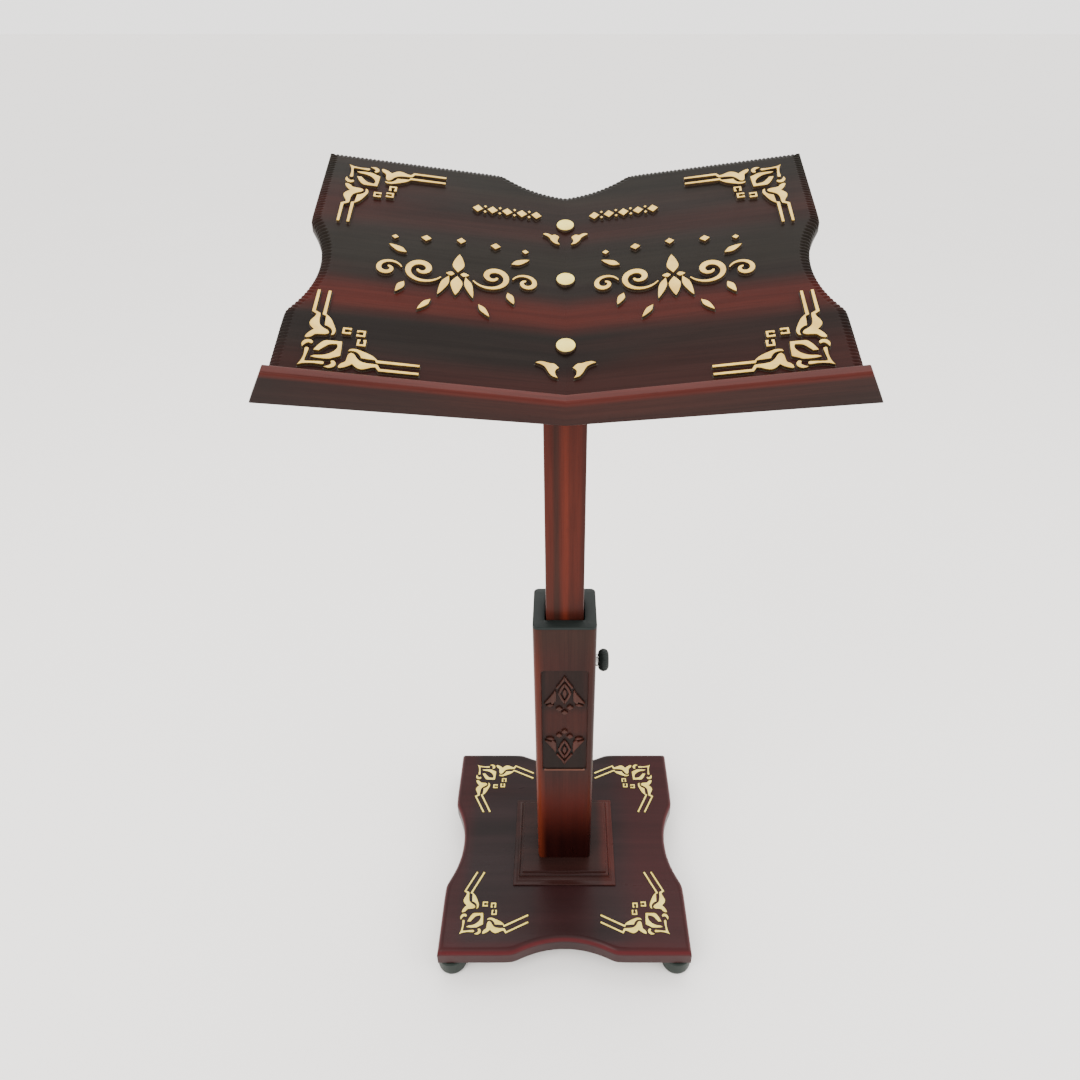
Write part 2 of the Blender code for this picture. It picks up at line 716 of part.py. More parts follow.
def make_dowels(saddle, post):
    """Two dowels that join the saddle to the post's end."""
    middle = -SADDLE_DROP
    low = middle - DOWEL_LENGTH / 2
    high = middle + DOWEL_LENGTH / 2
    y = post_position(SADDLE_DROP)
    dowel = [(0.0, high), (DOWEL_RADIUS, high), (DOWEL_RADIUS, low), (0.0, low)]
    wide = DOWEL_RADIUS + GAP
    hole = [(0.0, high + GAP), (wide, high + GAP), (wide, low - GAP), (0.0, low - GAP)]
    for side, x in (("left", -DOWEL_SPACING / 2), ("right", DOWEL_SPACING / 2)):
        place(turned_object("post_dowel_" + side, dowel, BEECH, DESK, 16), (x, y, 0))
        cutter = turned_cutter("dowel_hole_" + side, hole, DESK, 16)
        place(cutter, (x, y, 0))
        cut(saddle, cutter)
        cut(post, cutter)


# ---------------------------------------------------------------- trim

def make_discs():
    """Discs on the fold line; the underside of each follows both leaves."""
    for label, position in DISC_POSITIONS.items():
        bm = bmesh.new()
        bmesh.ops.create_cone(bm, cap_ends=True, segments=32, radius1=DISC_RADIUS,
                              radius2=DISC_RADIUS, depth=2 * DISC_HEIGHT)
        mesh = mesh_from(bm, "fold_disc_" + label)
        for sign in (1, -1):
            down = Vector((sign * math.sin(LEAF_RISE), 0, -math.cos(LEAF_RISE)))
            trim_mesh(mesh, -GAP * down, down)
        place(add_object("fold_disc_" + label, mesh, PALE_GILT, DESK), (0, position, 0))


def corner_outline(long_arm, short_arm):
    """A corner piece: two stepped arms and a pointed shoulder between them."""
    return [
        (0.0, 0.0), (long_arm, 0.0), (long_arm, 0.013), (0.060, 0.014), (0.048, 0.030),
        (0.048, 0.040), (0.044, 0.044), (0.034, 0.047), (0.030, 0.046), (0.014, 0.057),
        (0.013, short_arm), (0.0, short_arm),
    ]


def make_leaf_corners():
    """A corner piece near the outer corners of each leaf, front and rear."""
    for label, corner_t, sign in (("rear", LEAF_TRIM_REAR_T, -1), ("front", LEAF_TRIM_FRONT_T, 1)):
        points = [(LEAF_TRIM_CORNER_S - a, corner_t + sign * b)
                  for a, b in corner_outline(0.0915, 0.0875)]
        mesh = outline_mesh("corner_trim_" + label, points, GAP, GAP + TRIM_HEIGHT)
        add_pair("leaf_corner_" + label, mesh, GILT)


def make_base_corners():
    low = PLATE_TOP + GAP
    for side, sign_x in (("left", -1), ("right", 1)):
        for end, sign_y in (("front", -1), ("rear", 1)):
            points = [(sign_x * (BASE_TRIM_CORNER - a), sign_y * (BASE_TRIM_CORNER - b))
                      for a, b in corner_outline(0.090, 0.090)]
            name = "base_corner_%s_%s" % (end, side)
            add_object(name, outline_mesh(name, points, low, low + BASE_TRIM_HEIGHT), PALE_GILT)


def flame_outline(inner, outer, low, high):
    """A pointed leaf that leans outwards: its belly faces the fold line."""
    points = []
    steps = 6
    for step in range(steps + 1):
        part = step / steps
        x = inner + (outer - inner) * part
        y = low + (high - low) * part ** 1.6 - 0.003 * math.sin(math.pi * part)
        points.append((x, y))
    for step in range(steps - 1, 0, -1):
        part = step / steps
        x = inner + (outer - inner) * part
        y = low + (high - low) * part ** 0.6 + 0.001 * math.sin(math.pi * part)
        points.append((x, y))
    return points


def make_flames():
    """A pair of flame-shaped leaves below the rear disc and below the front disc."""
    for label, spans in FLAME_SPANS.items():
        mesh = outline_mesh("flame_" + label, flame_outline(*spans), GAP, GAP + TRIM_HEIGHT)
        add_pair("flame_" + label, mesh, GILT)


def lobed_outline(span, centre, half_height, waist, lobes):
    """A long outline that swells between waists: one lobe per repeat."""
    start, end = span
    steps = lobes * 6
    upper = []
    for step in range(steps + 1):
        part = step / steps
        swell = abs(math.sin(lobes * math.pi * part))
        upper.append((start + (end - start) * part, waist + (half_height - waist) * swell))
    lower = [(x, centre - height) for x, height in upper]
    return lower + [(x, centre + height) for x, height in reversed(upper)]


def make_scroll_trim():
    """The wide scroll ornament and the narrow chain above it, on each leaf."""
    low = GAP
    high = GAP + TRIM_HEIGHT
    scroll = lobed_outline(SCROLL_SPAN, SCROLL_CENTRE, SCROLL_HALF_HEIGHT, 0.004, 3)
    add_pair("scroll", outline_mesh("scroll", scroll, low, high), GILT)
    chain = lobed_outline(CHAIN_SPAN, CHAIN_CENTRE, CHAIN_HALF_HEIGHT, 0.0012, 4)
    add_pair("chain", outline_mesh("chain", chain, low, high), GILT)


# ---------------------------------------------------------------- assembly

def build_stand():
    base_plate = make_base_plate()
    make_feet(base_plate)
    plinth = make_plinth()
    foot_block = make_foot_block()
    make_base_bolts(base_plate, plinth, foot_block)
    boards = make_column_boards()
    cut_front_panel(boards["front"])
    make_cap_plate()
    make_clamp(boards["right"])
    post = make_post()
    leaves = make_leaves()
    make_ledges()
    saddle = make_saddle()
    rails = {label: make_rail(label) for label in ("front", "rear")}
    make_fold_screws(leaves, rails, saddle)
    make_rail_screws(leaves, rails)
    make_dowels(saddle, post)
    make_discs()
    make_leaf_corners()
    make_base_corners()
    make_flames()
    make_scroll_trim()


build_stand()
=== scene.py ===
"""Looks for the book stand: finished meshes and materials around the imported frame, in metres, +Z up."""
import math

import bmesh
import bpy
from mathutils import Matrix, Vector


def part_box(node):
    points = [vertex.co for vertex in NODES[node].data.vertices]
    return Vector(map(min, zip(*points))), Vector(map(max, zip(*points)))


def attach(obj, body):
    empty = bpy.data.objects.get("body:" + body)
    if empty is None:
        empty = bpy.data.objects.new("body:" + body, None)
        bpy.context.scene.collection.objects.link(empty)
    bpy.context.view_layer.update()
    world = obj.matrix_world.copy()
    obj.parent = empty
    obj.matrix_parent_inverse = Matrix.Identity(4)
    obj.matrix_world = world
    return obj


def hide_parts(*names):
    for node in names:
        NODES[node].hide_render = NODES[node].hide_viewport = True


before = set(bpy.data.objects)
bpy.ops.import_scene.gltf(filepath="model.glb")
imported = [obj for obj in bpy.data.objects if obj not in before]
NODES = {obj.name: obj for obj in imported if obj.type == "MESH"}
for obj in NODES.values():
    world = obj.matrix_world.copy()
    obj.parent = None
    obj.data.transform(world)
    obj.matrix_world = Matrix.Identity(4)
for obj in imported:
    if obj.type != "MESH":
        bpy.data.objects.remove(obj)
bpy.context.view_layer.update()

# ---------------------------------------------------------------- sizes shared with the frame

GAP = 0.0003
DESK_TILT = math.radians(22.4)
LEAF_RISE = math.radians(8.0)
LEAF_WIDTH = 0.23
LEAF_LENGTH = 0.3032  # a little short of the frame's leaf, so that the whole stays inside its box
LEAF_THICKNESS = 0.015
WAIST_CENTRE = 0.1345
WAIST_RADIUS = 0.106
WAIST_DEPTH = 0.018
CROWN_RADIUS = 0.089
CROWN_DEPTH = 0.0245
LEDGE_LIP = 0.0095
LEDGE_DEPTH = 0.00975
LEDGE_FORWARD = 0.012
LEDGE_DROP_INNER = 0.0145
LEDGE_DROP_OUTER = 0.0225
LEDGE_FLARE = 0.013
TRIM_HEIGHT = 0.0025
BASE_TRIM_HEIGHT = 0.0006
BASE_ROUND = 0.008
SCALLOP_RADIUS = 0.13
SCALLOP_DEPTH = 0.018
RIM_WIDTH = 0.0092
RIM_DROP = 0.0052
FLUTE_PITCH = 0.0039
SADDLE_HEIGHT = 0.05
CORNER_S = 0.2075
CORNER_T = {"rear": (0.2795, -1), "front": (0.0098, 1)}
PANEL_LOW, PANEL_HIGH = 0.249, 0.42
PANEL_HALF_WIDTH = 0.0275
PANEL_DEPTH = 0.0025
PANEL_SLOPE = 0.0016
MOTIF_TIPS = ((0.4115, 1.0), (0.2585, -1.0))
CAP_OPENING_HALF = 0.02275
MM = 0.001

BASE_LOW, BASE_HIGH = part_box("base_plate")
COLUMN_LOW, COLUMN_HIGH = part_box("column_front_board")
CAP_LOW, CAP_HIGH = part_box("column_cap_plate")
POST_LOW, POST_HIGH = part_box("inner_post")
PLINTH_LOW, PLINTH_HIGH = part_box("plinth")
KNOB_LOW, KNOB_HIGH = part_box("clamp_knob")
HUB_LOW, HUB_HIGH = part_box("clamp_hub")
FOLD_FRONT = Vector((0.0, -0.1401, 0.8026))

DESK = Matrix.Translation(FOLD_FRONT) @ Matrix.Rotation(DESK_TILT, 4, "X")
LEAF_FRAMES = {
    "right": DESK @ Matrix.Rotation(-LEAF_RISE, 4, "Y"),
    "left": DESK @ Matrix.Rotation(LEAF_RISE, 4, "Y"),
}


SIDES = (("right", (1.0, 1.0, 1.0)), ("left", (-1.0, 1.0, 1.0)))

# ---------------------------------------------------------------- material helpers

class Nodes:
    """A short way to write a node tree."""

    def __init__(self, name):
        self.material = bpy.data.materials.new(name)
        self.material.use_nodes = True
        self.tree = self.material.node_tree
        self.shader = self.tree.nodes["Principled BSDF"]
        self.place = self.add("ShaderNodeTexCoord").outputs["Object"]

    def give(self, socket, value):
        """Sets a socket to a value, or links it to another node's output."""
        if isinstance(value, bpy.types.NodeSocket):
            self.tree.links.new(value, socket)
        else:
            socket.default_value = value

    def add(self, kind, inputs=None, **settings):
        node = self.tree.nodes.new(kind)
        for key, value in settings.items():
            setattr(node, key, value)
        for key, value in (inputs or {}).items():
            self.give(node.inputs[key], value)
        return node

    def noise(self, stretch, detail, roughness=0.55, distortion=0.0, offset=(0, 0, 0)):
        """Noise at one scale in all directions, or at three scales given as a tuple."""
        scale = stretch if isinstance(stretch, tuple) else (stretch,) * 3
        mapping = self.add("ShaderNodeMapping", {"Vector": self.place, "Scale": scale, "Location": offset})
        return self.add("ShaderNodeTexNoise", {
            "Vector": mapping.outputs["Vector"], "Scale": 1.0, "Detail": detail, "Roughness": roughness,
            "Distortion": distortion}).outputs["Fac"]

    def mask(self, factor, low, high, turned=False):
        """Black to white between two levels, or white to black when turned."""
        node = self.add("ShaderNodeValToRGB", {"Fac": factor})
        for element, position, grey in zip(node.color_ramp.elements, (low, high), (turned, not turned)):
            element.position = position
            element.color = (float(grey), float(grey), float(grey), 1.0)
        return node.outputs["Color"]

    def mix(self, factor, first, second, kind="MIX"):
        first, second = ((*c, 1.0) if isinstance(c, tuple) else c for c in (first, second))
        return self.add("ShaderNodeMix", {0: factor, 6: first, 7: second}, data_type="RGBA",
                        blend_type=kind).outputs[2]

    def value_range(self, factor, low, high):
        return self.add("ShaderNodeMapRange", {"Value": factor, "To Min": low,
                                               "To Max": high}).outputs["Result"]

    def zone(self, axis, rise, fall):
        """1 between two soft limits along one axis: it rises over the first and falls over the second."""
        along_axis = self.add("ShaderNodeSeparateXYZ", {"Vector": self.place}).outputs[axis]
        limits = []
        for (start, end), first, last in ((rise, 0.0, 1.0), (fall, 1.0, 0.0)):
            limits.append(self.add("ShaderNodeMapRange", {
                "Value": along_axis, "From Min": start, "From Max": end, "To Min": first, "To Max": last,
            }, interpolation_type="SMOOTHSTEP").outputs["Result"])
        return self.product(*limits)

    def product(self, first, second):
        return self.add("ShaderNodeMath", {0: first, 1: second}, operation="MULTIPLY").outputs[0]

    def bump(self, height, strength, distance):
        return self.add("ShaderNodeBump", {"Height": height, "Strength": strength,
                                           "Distance": distance}).outputs["Normal"]

    def finish(self, colour, roughness, normal=None, **constants):
        wanted = {"Base Color": colour, "Roughness": roughness}
        wanted.update((key.replace("_", " "), value) for key, value in constants.items())
        if normal is not None:
            wanted["Normal"] = normal
        for key, value in wanted.items():
            self.give(self.shader.inputs[key], value)
        return self.material


def along(axis, length_scale, cross_scale):
    """A mapping scale that stretches a pattern along one axis."""
    return tuple(length_scale if index == axis else cross_scale for index in range(3))


def darker(colour, share):
    return tuple(share * value for value in colour)


def varnished_wood(name, axis, dark, middle, red, red_amount, roughness, seed, tints=(), grain=0.6,
                   specular=0.1):
    """Stained and varnished hardwood: bands, streaks, fine lines and pores along one axis.

    Each tint is (axis, rise, fall, colour, amount): a colour laid over part of the piece; some tints are stain,
    others painted highlight, shade or reflection.
    """
    nodes = Nodes(name)
    offset = (seed * 1.7, seed * 0.9, seed * 2.3)

    def figure(length_scale, cross_scale, detail, breakup, distortion=0.0):
        return nodes.noise(along(axis, length_scale, cross_scale), detail, breakup, distortion, offset)

    bands = figure(1.6, 26.0, 3.0, 0.5, 0.4)
    streaks = figure(5.0, 130.0, 5.0, 0.6, 0.3)
    lines = figure(12.0, 560.0, 3.0, 0.6)
    pores = figure(70.0, 2300.0, 2.0, 0.5)
    patches = figure(2.2, 9.0, 2.0, 0.5, 0.6)
    rubbed = figure(6.0, 14.0, 4.0, 0.6)
    colour = nodes.mix(nodes.mask(bands, 0.36, 0.66), dark, middle)
    colour = nodes.mix(nodes.product(nodes.mask(patches, 0.44, 0.64), red_amount), colour, red)
    cloud = nodes.value_range(bands, 0.65, 1.15)
    for tint_axis, rise, fall, tint, amount in tints:
        share = nodes.product(nodes.product(nodes.zone(tint_axis, rise, fall), cloud), amount)
        colour = nodes.mix(share, colour, tint)
    shade = nodes.mix(nodes.mask(streaks, 0.4, 0.72), (1.0, 1.0, 1.0), (0.52, 0.52, 0.54))
    shade = nodes.mix(nodes.mask(lines, 0.5, 0.76), shade, (0.46, 0.44, 0.44))
    shade = nodes.mix(nodes.mask(pores, 0.64, 0.74), shade, (0.32, 0.3, 0.3))
    colour = nodes.mix(grain, colour, shade, "MULTIPLY")
    gloss = nodes.value_range(rubbed, roughness - 0.07, roughness + 0.14)
    fine = nodes.bump(nodes.mask(pores, 0.6, 0.76, turned=True), 0.08, 0.0002)
    return nodes.finish(colour, gloss, fine, Specular_IOR_Level=specular)


def bare_wood(name, axis, light, dark, seed):
    """Unvarnished timber, for what is under the desk and inside the column."""
    nodes = Nodes(name)
    offset = (seed, seed * 2.0, seed * 0.6)
    figure = nodes.noise(along(axis, 3.0, 60.0), 5.0, 0.6, 0.8, offset)
    lines = nodes.noise(along(axis, 14.0, 500.0), 3.0, 0.6, offset=offset)
    colour = nodes.mix(nodes.mask(figure, 0.35, 0.68), light, dark)
    colour = nodes.mix(nodes.mask(lines, 0.52, 0.72), colour, darker(dark, 0.6))
    return nodes.finish(colour, nodes.value_range(figure, 0.52, 0.72), nodes.bump(lines, 0.25, 0.0004))


def gilt_paint(name, light, deep, roughness):
    """Gilt paint rubbed over raised wood: warmer in patches, with brush marks and small worn spots."""
    nodes = Nodes(name)
    patches = nodes.noise(60.0, 3.0, 0.5)
    brushed = nodes.noise((240.0, 900.0, 240.0), 3.0, 0.6)
    spots = nodes.noise(700.0, 2.0, 0.5)
    colour = nodes.mix(nodes.mask(patches, 0.38, 0.66), light, deep)
    colour = nodes.mix(nodes.value_range(brushed, 0.0, 0.35), colour, darker(deep, 0.78))
    colour = nodes.mix(nodes.mask(spots, 0.72, 0.8), colour, darker(deep, 0.45))
    return nodes.finish(colour, nodes.value_range(patches, roughness - 0.08, roughness + 0.1),
                        nodes.bump(brushed, 0.2, 0.0003), Metallic=0.08, Specular_IOR_Level=0.3)


def moulded_plastic(name, colour_low, colour_high, roughness, grain):
    """Moulded plastic with a fine texture and dusty patches."""
    nodes = Nodes(name)
    cloud = nodes.noise(25.0, 3.0)
    texture = nodes.noise(grain, 2.0)
    return nodes.finish(nodes.mix(cloud, colour_low, colour_high),
                        nodes.value_range(cloud, roughness - 0.08, roughness + 0.12),
                        nodes.bump(texture, 0.18, 0.0002), Specular_IOR_Level=0.12)


def plated_metal(name, tone, axis, roughness):
    """Plated metal with turning marks along one axis and slight tarnish."""
    nodes = Nodes(name)
    marks = nodes.noise(along(axis, 2600.0, 90.0), 2.0)
    tarnish = nodes.noise(130.0, 3.0)
    colour = nodes.mix(nodes.mask(tarnish, 0.45, 0.75), tone, darker(tone, 0.7))
    return nodes.finish(colour, nodes.value_range(tarnish, roughness - 0.05, roughness + 0.15),
                        nodes.bump(marks, 0.12, 0.0001), Metallic=1.0)


X, Y, Z = 0, 1, 2
PANEL_RED = (0.06, 0.009, 0.0065)
ALWAYS = (-9.0, -8.0)
NEVER = (8.0, 9.0)
LEAF_WOOD = varnished_wood(
    "leaf_wood", X, (0.0078, 0.0054, 0.0044), (0.015, 0.0096, 0.0076), (0.033, 0.0066, 0.005),
    red_amount=0.45, roughness=0.34, seed=3.1, specular=0.03, tints=(
        # The tints along Y are painted reflections: red bands and greyer bands of reflected light across the
        # leaf.
        (Y, (0.07, 0.095), (0.1, 0.13), (0.052, 0.0085, 0.0058), 0.9),
        (Y, (0.19, 0.21), (0.215, 0.24), (0.028, 0.008, 0.006), 0.5),
        (Y, (0.13, 0.15), (0.175, 0.2), (0.0095, 0.0085, 0.0062), 0.7),
        (Y, (0.25, 0.275), NEVER, (0.01, 0.0092, 0.0068), 0.65),
        (Y, ALWAYS, (0.012, 0.045), (0.024, 0.007, 0.0058), 0.65)))
LEDGE_WOOD = varnished_wood(
    "ledge_wood", X, (0.011, 0.005, 0.0042), (0.022, 0.0105, 0.0082), (0.05, 0.0075, 0.0055),
    red_amount=0.4, roughness=0.3, seed=1.3, grain=0.7, tints=(
        # Top band of the lip: painted highlight, the reddish light along the rounded top edge.
        (Z, (0.0035, 0.0075), NEVER, (0.062, 0.0095, 0.0065), 0.85),
        (Z, ALWAYS, (-0.014, -0.002), (0.014, 0.006, 0.0048), 0.55)))
COLUMN_WOOD = varnished_wood(
    "column_wood", Z, (0.013, 0.0052, 0.0042), (0.031, 0.0105, 0.008), (0.052, 0.0075, 0.0055),
    red_amount=0.45, roughness=0.28, seed=5.2, grain=0.55, tints=(
        (Z, ALWAYS, (0.18, 0.27), (0.042, 0.0055, 0.0032), 1.0),
        (X, (0.02, 0.0345), NEVER, (0.042, 0.01, 0.0065), 0.35),
        (Z, ALWAYS, (0.095, 0.19), (0.0065, 0.0012, 0.0011), 1.0),
        # Left edge: painted highlight, the bright orange-red line where the eased corner catches the light.
        (X, ALWAYS, (-0.0345, -0.023), (0.115, 0.018, 0.007), 0.58),
        (Z, (0.42, 0.48), NEVER, (0.02, 0.0125, 0.009), 0.5)))
# Darker copy of the column wood for the sunk panel's floor and side walls: painted shade in the recess.
PANEL_GROUND_SHADE = varnished_wood(
    "panel_ground_shade", Z, (0.008, 0.0042, 0.0033), (0.018, 0.0076, 0.0058), PANEL_RED,
    red_amount=0.2, roughness=0.36, seed=8.2, tints=(
        (Z, (0.3, 0.32), (0.345, 0.365), (0.038, 0.008, 0.0054), 0.75),
        # Darker strip along the panel's left wall: painted shade.
        (X, ALWAYS, (-0.026, -0.02), (0.008, 0.0038, 0.0032), 0.6)))
# Light copy of the wood for the panel's upper and lower walls: painted highlight where the sunk edges catch the
# light.
PANEL_EDGE_HIGHLIGHT = varnished_wood(
    "panel_edge_highlight", X, (0.08, 0.034, 0.024), (0.12, 0.052, 0.036), PANEL_RED,
    red_amount=0.1, roughness=0.3, seed=8.8)
# Redder wood for the raised carving, made lighter than the ground as painted highlight on the raised motifs.
RELIEF_HIGHLIGHT_WOOD = varnished_wood(
    "relief_highlight_wood", Z, (0.024, 0.0085, 0.0058), (0.056, 0.017, 0.0115), (0.08, 0.014, 0.009),
    red_amount=0.6, roughness=0.3, seed=6.6, grain=0.8, specular=0.14)
POST_WOOD = varnished_wood(
    "post_wood", Z, (0.017, 0.0055, 0.0042), (0.048, 0.0115, 0.0075), (0.082, 0.0125, 0.0068),
    red_amount=0.55, roughness=0.26, seed=2.6, tints=(
        (X, (-0.006, 0.0), (0.002, 0.0065), (0.105, 0.0165, 0.008), 0.7),
        (X, (-0.014, -0.01), (-0.008, -0.004), (0.015, 0.0095, 0.007), 0.65),
        (X, (0.014, 0.02), NEVER, (0.024, 0.008, 0.006), 0.6)))
BASE_WOOD = varnished_wood(
    "base_wood", X, (0.009, 0.0052, 0.0052), (0.017, 0.009, 0.0094), (0.03, 0.006, 0.006),
    red_amount=0.2, roughness=0.26, seed=9.8, grain=0.3, tints=(
        (X, (0.06, 0.11), NEVER, (0.029, 0.0058, 0.0062), 0.8),
        (X, ALWAYS, (-0.15, -0.125), (0.029, 0.0058, 0.0062), 0.65),
        (X, (-0.05, -0.03), (0.03, 0.05), (0.02, 0.0054, 0.0057), 0.5),
        (Y, ALWAYS, (-0.156, -0.146), (0.034, 0.0064, 0.007), 0.6),
        # Band on the rounded-over top edge: painted highlight, the red light along the rounded edge.
        (Z, (0.0435, 0.046), (0.048, 0.0505), (0.062, 0.007, 0.0088), 0.8),
        (Z, ALWAYS, (0.03, 0.042), (0.02, 0.006, 0.0056), 0.6)))
PLINTH_WOOD = varnished_wood(
    "plinth_wood", X, (0.0105, 0.0046, 0.0042), (0.023, 0.009, 0.0074), (0.038, 0.007, 0.0055),
    red_amount=0.3, roughness=0.26, seed=7.7, grain=0.35, tints=(
        (X, (0.045, 0.06), NEVER, (0.056, 0.0105, 0.0075), 0.75),
        (Y, ALWAYS, (-0.06, -0.04), (0.023, 0.0068, 0.0057), 0.65)))
UNDER_WOOD = bare_wood("under_wood", X, (0.15, 0.07, 0.038), (0.08, 0.036, 0.022), 4.0)
BEECH = bare_wood("beech_wood", Z, (0.56, 0.38, 0.23), (0.42, 0.26, 0.14), 6.0)
GILT = gilt_paint("gilt_paint", (0.68, 0.46, 0.1), (0.54, 0.335, 0.055), 0.42)
PALE_GILT = gilt_paint("pale_gilt_paint", (0.76, 0.63, 0.14), (0.65, 0.49, 0.085), 0.45)
# Dark sides of the raised gilt pieces: their brown side walls, darkened further as painted shade.
GILT_SIDE_SHADE = gilt_paint("gilt_side_shade", (0.07, 0.036, 0.01), (0.026, 0.014, 0.007), 0.6)
# Thin dark line round the gilt pieces: a dark outline and painted shadow in one.
OUTLINE_AND_SHADOW = gilt_paint("dark_outline_and_shadow", (0.012, 0.007, 0.004), (0.022, 0.012, 0.006), 0.7)
BLACK_PLASTIC = moulded_plastic("black_plastic", (0.007, 0.0098, 0.0092), (0.015, 0.019, 0.0178), 0.4, 900.0)
FOOT_PLASTIC = moulded_plastic("foot_plastic", (0.0085, 0.013, 0.0108), (0.018, 0.024, 0.0205), 0.45, 700.0)
STEEL = plated_metal("zinc_steel", (0.62, 0.62, 0.6), X, 0.3)
BRASS = plated_metal("turned_brass", (0.7, 0.5, 0.22), X, 0.32)


# ---------------------------------------------------------------- mesh helpers

def place_in_scene(name, data):
    obj = bpy.data.objects.new(name, data)
    bpy.context.scene.collection.objects.link(obj)
    return obj


def settled_mesh(obj):
    """The object's mesh as its curve settings or modifiers leave it; the object is removed."""
    graph = bpy.context.evaluated_depsgraph_get()
    mesh = bpy.data.meshes.new_from_object(obj.evaluated_get(graph))
    bpy.data.objects.remove(obj, do_unlink=True)
    return mesh


def mesh_of(bm, name, mirror=(1.0, 1.0, 1.0)):
    """The mesh, mirrored where a factor is -1, with its faces turned outwards."""
    bmesh.ops.scale(bm, vec=mirror, verts=bm.verts)
    mesh = bpy.data.meshes.new(name)
    bmesh.ops.recalc_face_normals(bm, faces=bm.faces)
    bm.to_mesh(mesh)
    bm.free()
    return mesh


def finish_piece(name, mesh, materials, body, nodes, matrix=None, sharp=35.0, bevel=0.0, segments=3,
                 bevel_angle=35.0):
    """Makes the object, rounds its edges when given a bevel, parents it to its body's empty and hides the nodes
    it stands for.
    """
    obj = place_in_scene(name, mesh)
    for material in materials:
        mesh.materials.append(material)
    if matrix is not None:
        obj.matrix_world = matrix
    mesh.shade_smooth()
    if bevel > 0.0:
        rounding = obj.modifiers.new("rounding", "BEVEL")
        rounding.width = bevel
        rounding.segments = segments
        rounding.limit_method = "ANGLE"
        rounding.angle_limit = math.radians(bevel_angle)
        rounding.miter_outer = "MITER_ARC"
        weighted = obj.modifiers.new("even_normals", "WEIGHTED_NORMAL")
        weighted.weight = 50
        weighted.keep_sharp = True
    else:
        mesh.set_sharp_from_angle(angle=math.radians(sharp))
    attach(obj, body)
    if nodes:
        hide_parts(*nodes)
    return obj


def dressed_copy(node, material, body, bevel):
    """The CAD node's own shape with eased edges."""
    bm = bmesh.new()
    bm.from_mesh(NODES[node].data)
    bmesh.ops.remove_doubles(bm, verts=bm.verts, dist=1e-6)
    bmesh.ops.dissolve_limit(bm, angle_limit=math.radians(1.0), verts=bm.verts, edges=bm.edges)
    return finish_piece(node + "_eased", mesh_of(bm, node + "_eased"), [material], body, [node],
                        bevel=bevel, segments=2)


def bridge_rows(bm, rows, ends=False):
    """Faces between neighbouring rows of vertices; a row of one vertex is a tip."""
    for lower, upper in zip(rows, rows[1:]):
        count = max(len(lower), len(upper))
        for index in range(count):
            following = (index + 1) % count
            if len(lower) == 1:
                bm.faces.new((lower[0], upper[following], upper[index]))
            elif len(upper) == 1:
                bm.faces.new((lower[index], lower[following], upper[0]))
            else:
                bm.faces.new((lower[index], lower[following], upper[following], upper[index]))
    if ends:
        bm.faces.new(rows[0])
        bm.faces.new(rows[-1])


def close_rims(bm, middle):
    """Welds the vertices and fills the open loops above and below the middle height."""
    bmesh.ops.remove_doubles(bm, verts=bm.verts, dist=2e-6)
    for above in (True, False):
        rim = [edge for edge in bm.edges if edge.is_boundary and (edge.verts[0].co.z > middle) == above]
        bmesh.ops.triangle_fill(bm, edges=rim, use_beauty=True)


def lathe(name, profile, steps, axis_matrix, materials, body, nodes, ripple=None, sharp=35.0):
    """A turned piece about local Z; ripple(angle, radius) changes the radius."""
    bm = bmesh.new()
    rows = []
    for radius, height in profile:
        row = []
        for step in range(steps if radius > 1e-7 else 1):
            angle = 2 * math.pi * step / steps
            reach = radius if ripple is None else ripple(angle, radius)
            row.append(bm.verts.new((reach * math.cos(angle), reach * math.sin(angle), height)))
        rows.append(row)
    bridge_rows(bm, rows)
    return finish_piece(name, mesh_of(bm, name), materials, body, nodes, axis_matrix, sharp)


def rounded_profile(points, radii, steps=4):
    """A profile whose corners are rounded; each radius belongs to the point with the same index."""
    result = []
    for index, (point, radius) in enumerate(zip(points, radii)):
        if radius <= 0.0 or index in (0, len(points) - 1):
            result.append(point)
            continue
        here = Vector(point)
        before = Vector(points[index - 1]) - here
        after = Vector(points[index + 1]) - here
        reach = min(radius, 0.45 * before.length, 0.45 * after.length)
        start = here + before.normalized() * reach
        end = here + after.normalized() * reach
        for step in range(steps + 1):
            part = step / steps
            blend = (1 - part) ** 2 * start + 2 * part * (1 - part) * here + part ** 2 * end
            result.append(tuple(blend))
    return result


# ---------------------------------------------------------------- outlines

def scallop_inward(distance, radius, depth, softness=0.0022):
    """How far a scalloped edge is cut in, this far from its middle, with softened ends."""
    if abs(distance) >= radius:
        return 0.0
    cut = math.sqrt(radius ** 2 - distance ** 2) - (radius - depth)
    return max(0.0, (cut + math.sqrt(cut ** 2 + softness ** 2)) / 2 - softness ** 2 / (4 * (softness + depth)))


def scallop_slope(distance, radius, depth, softness=0.0022):
    step = 0.0002
    ahead = scallop_inward(distance + step, radius, depth, softness)
    behind = scallop_inward(distance - step, radius, depth, softness)
    return (ahead - behind) / (2 * step)


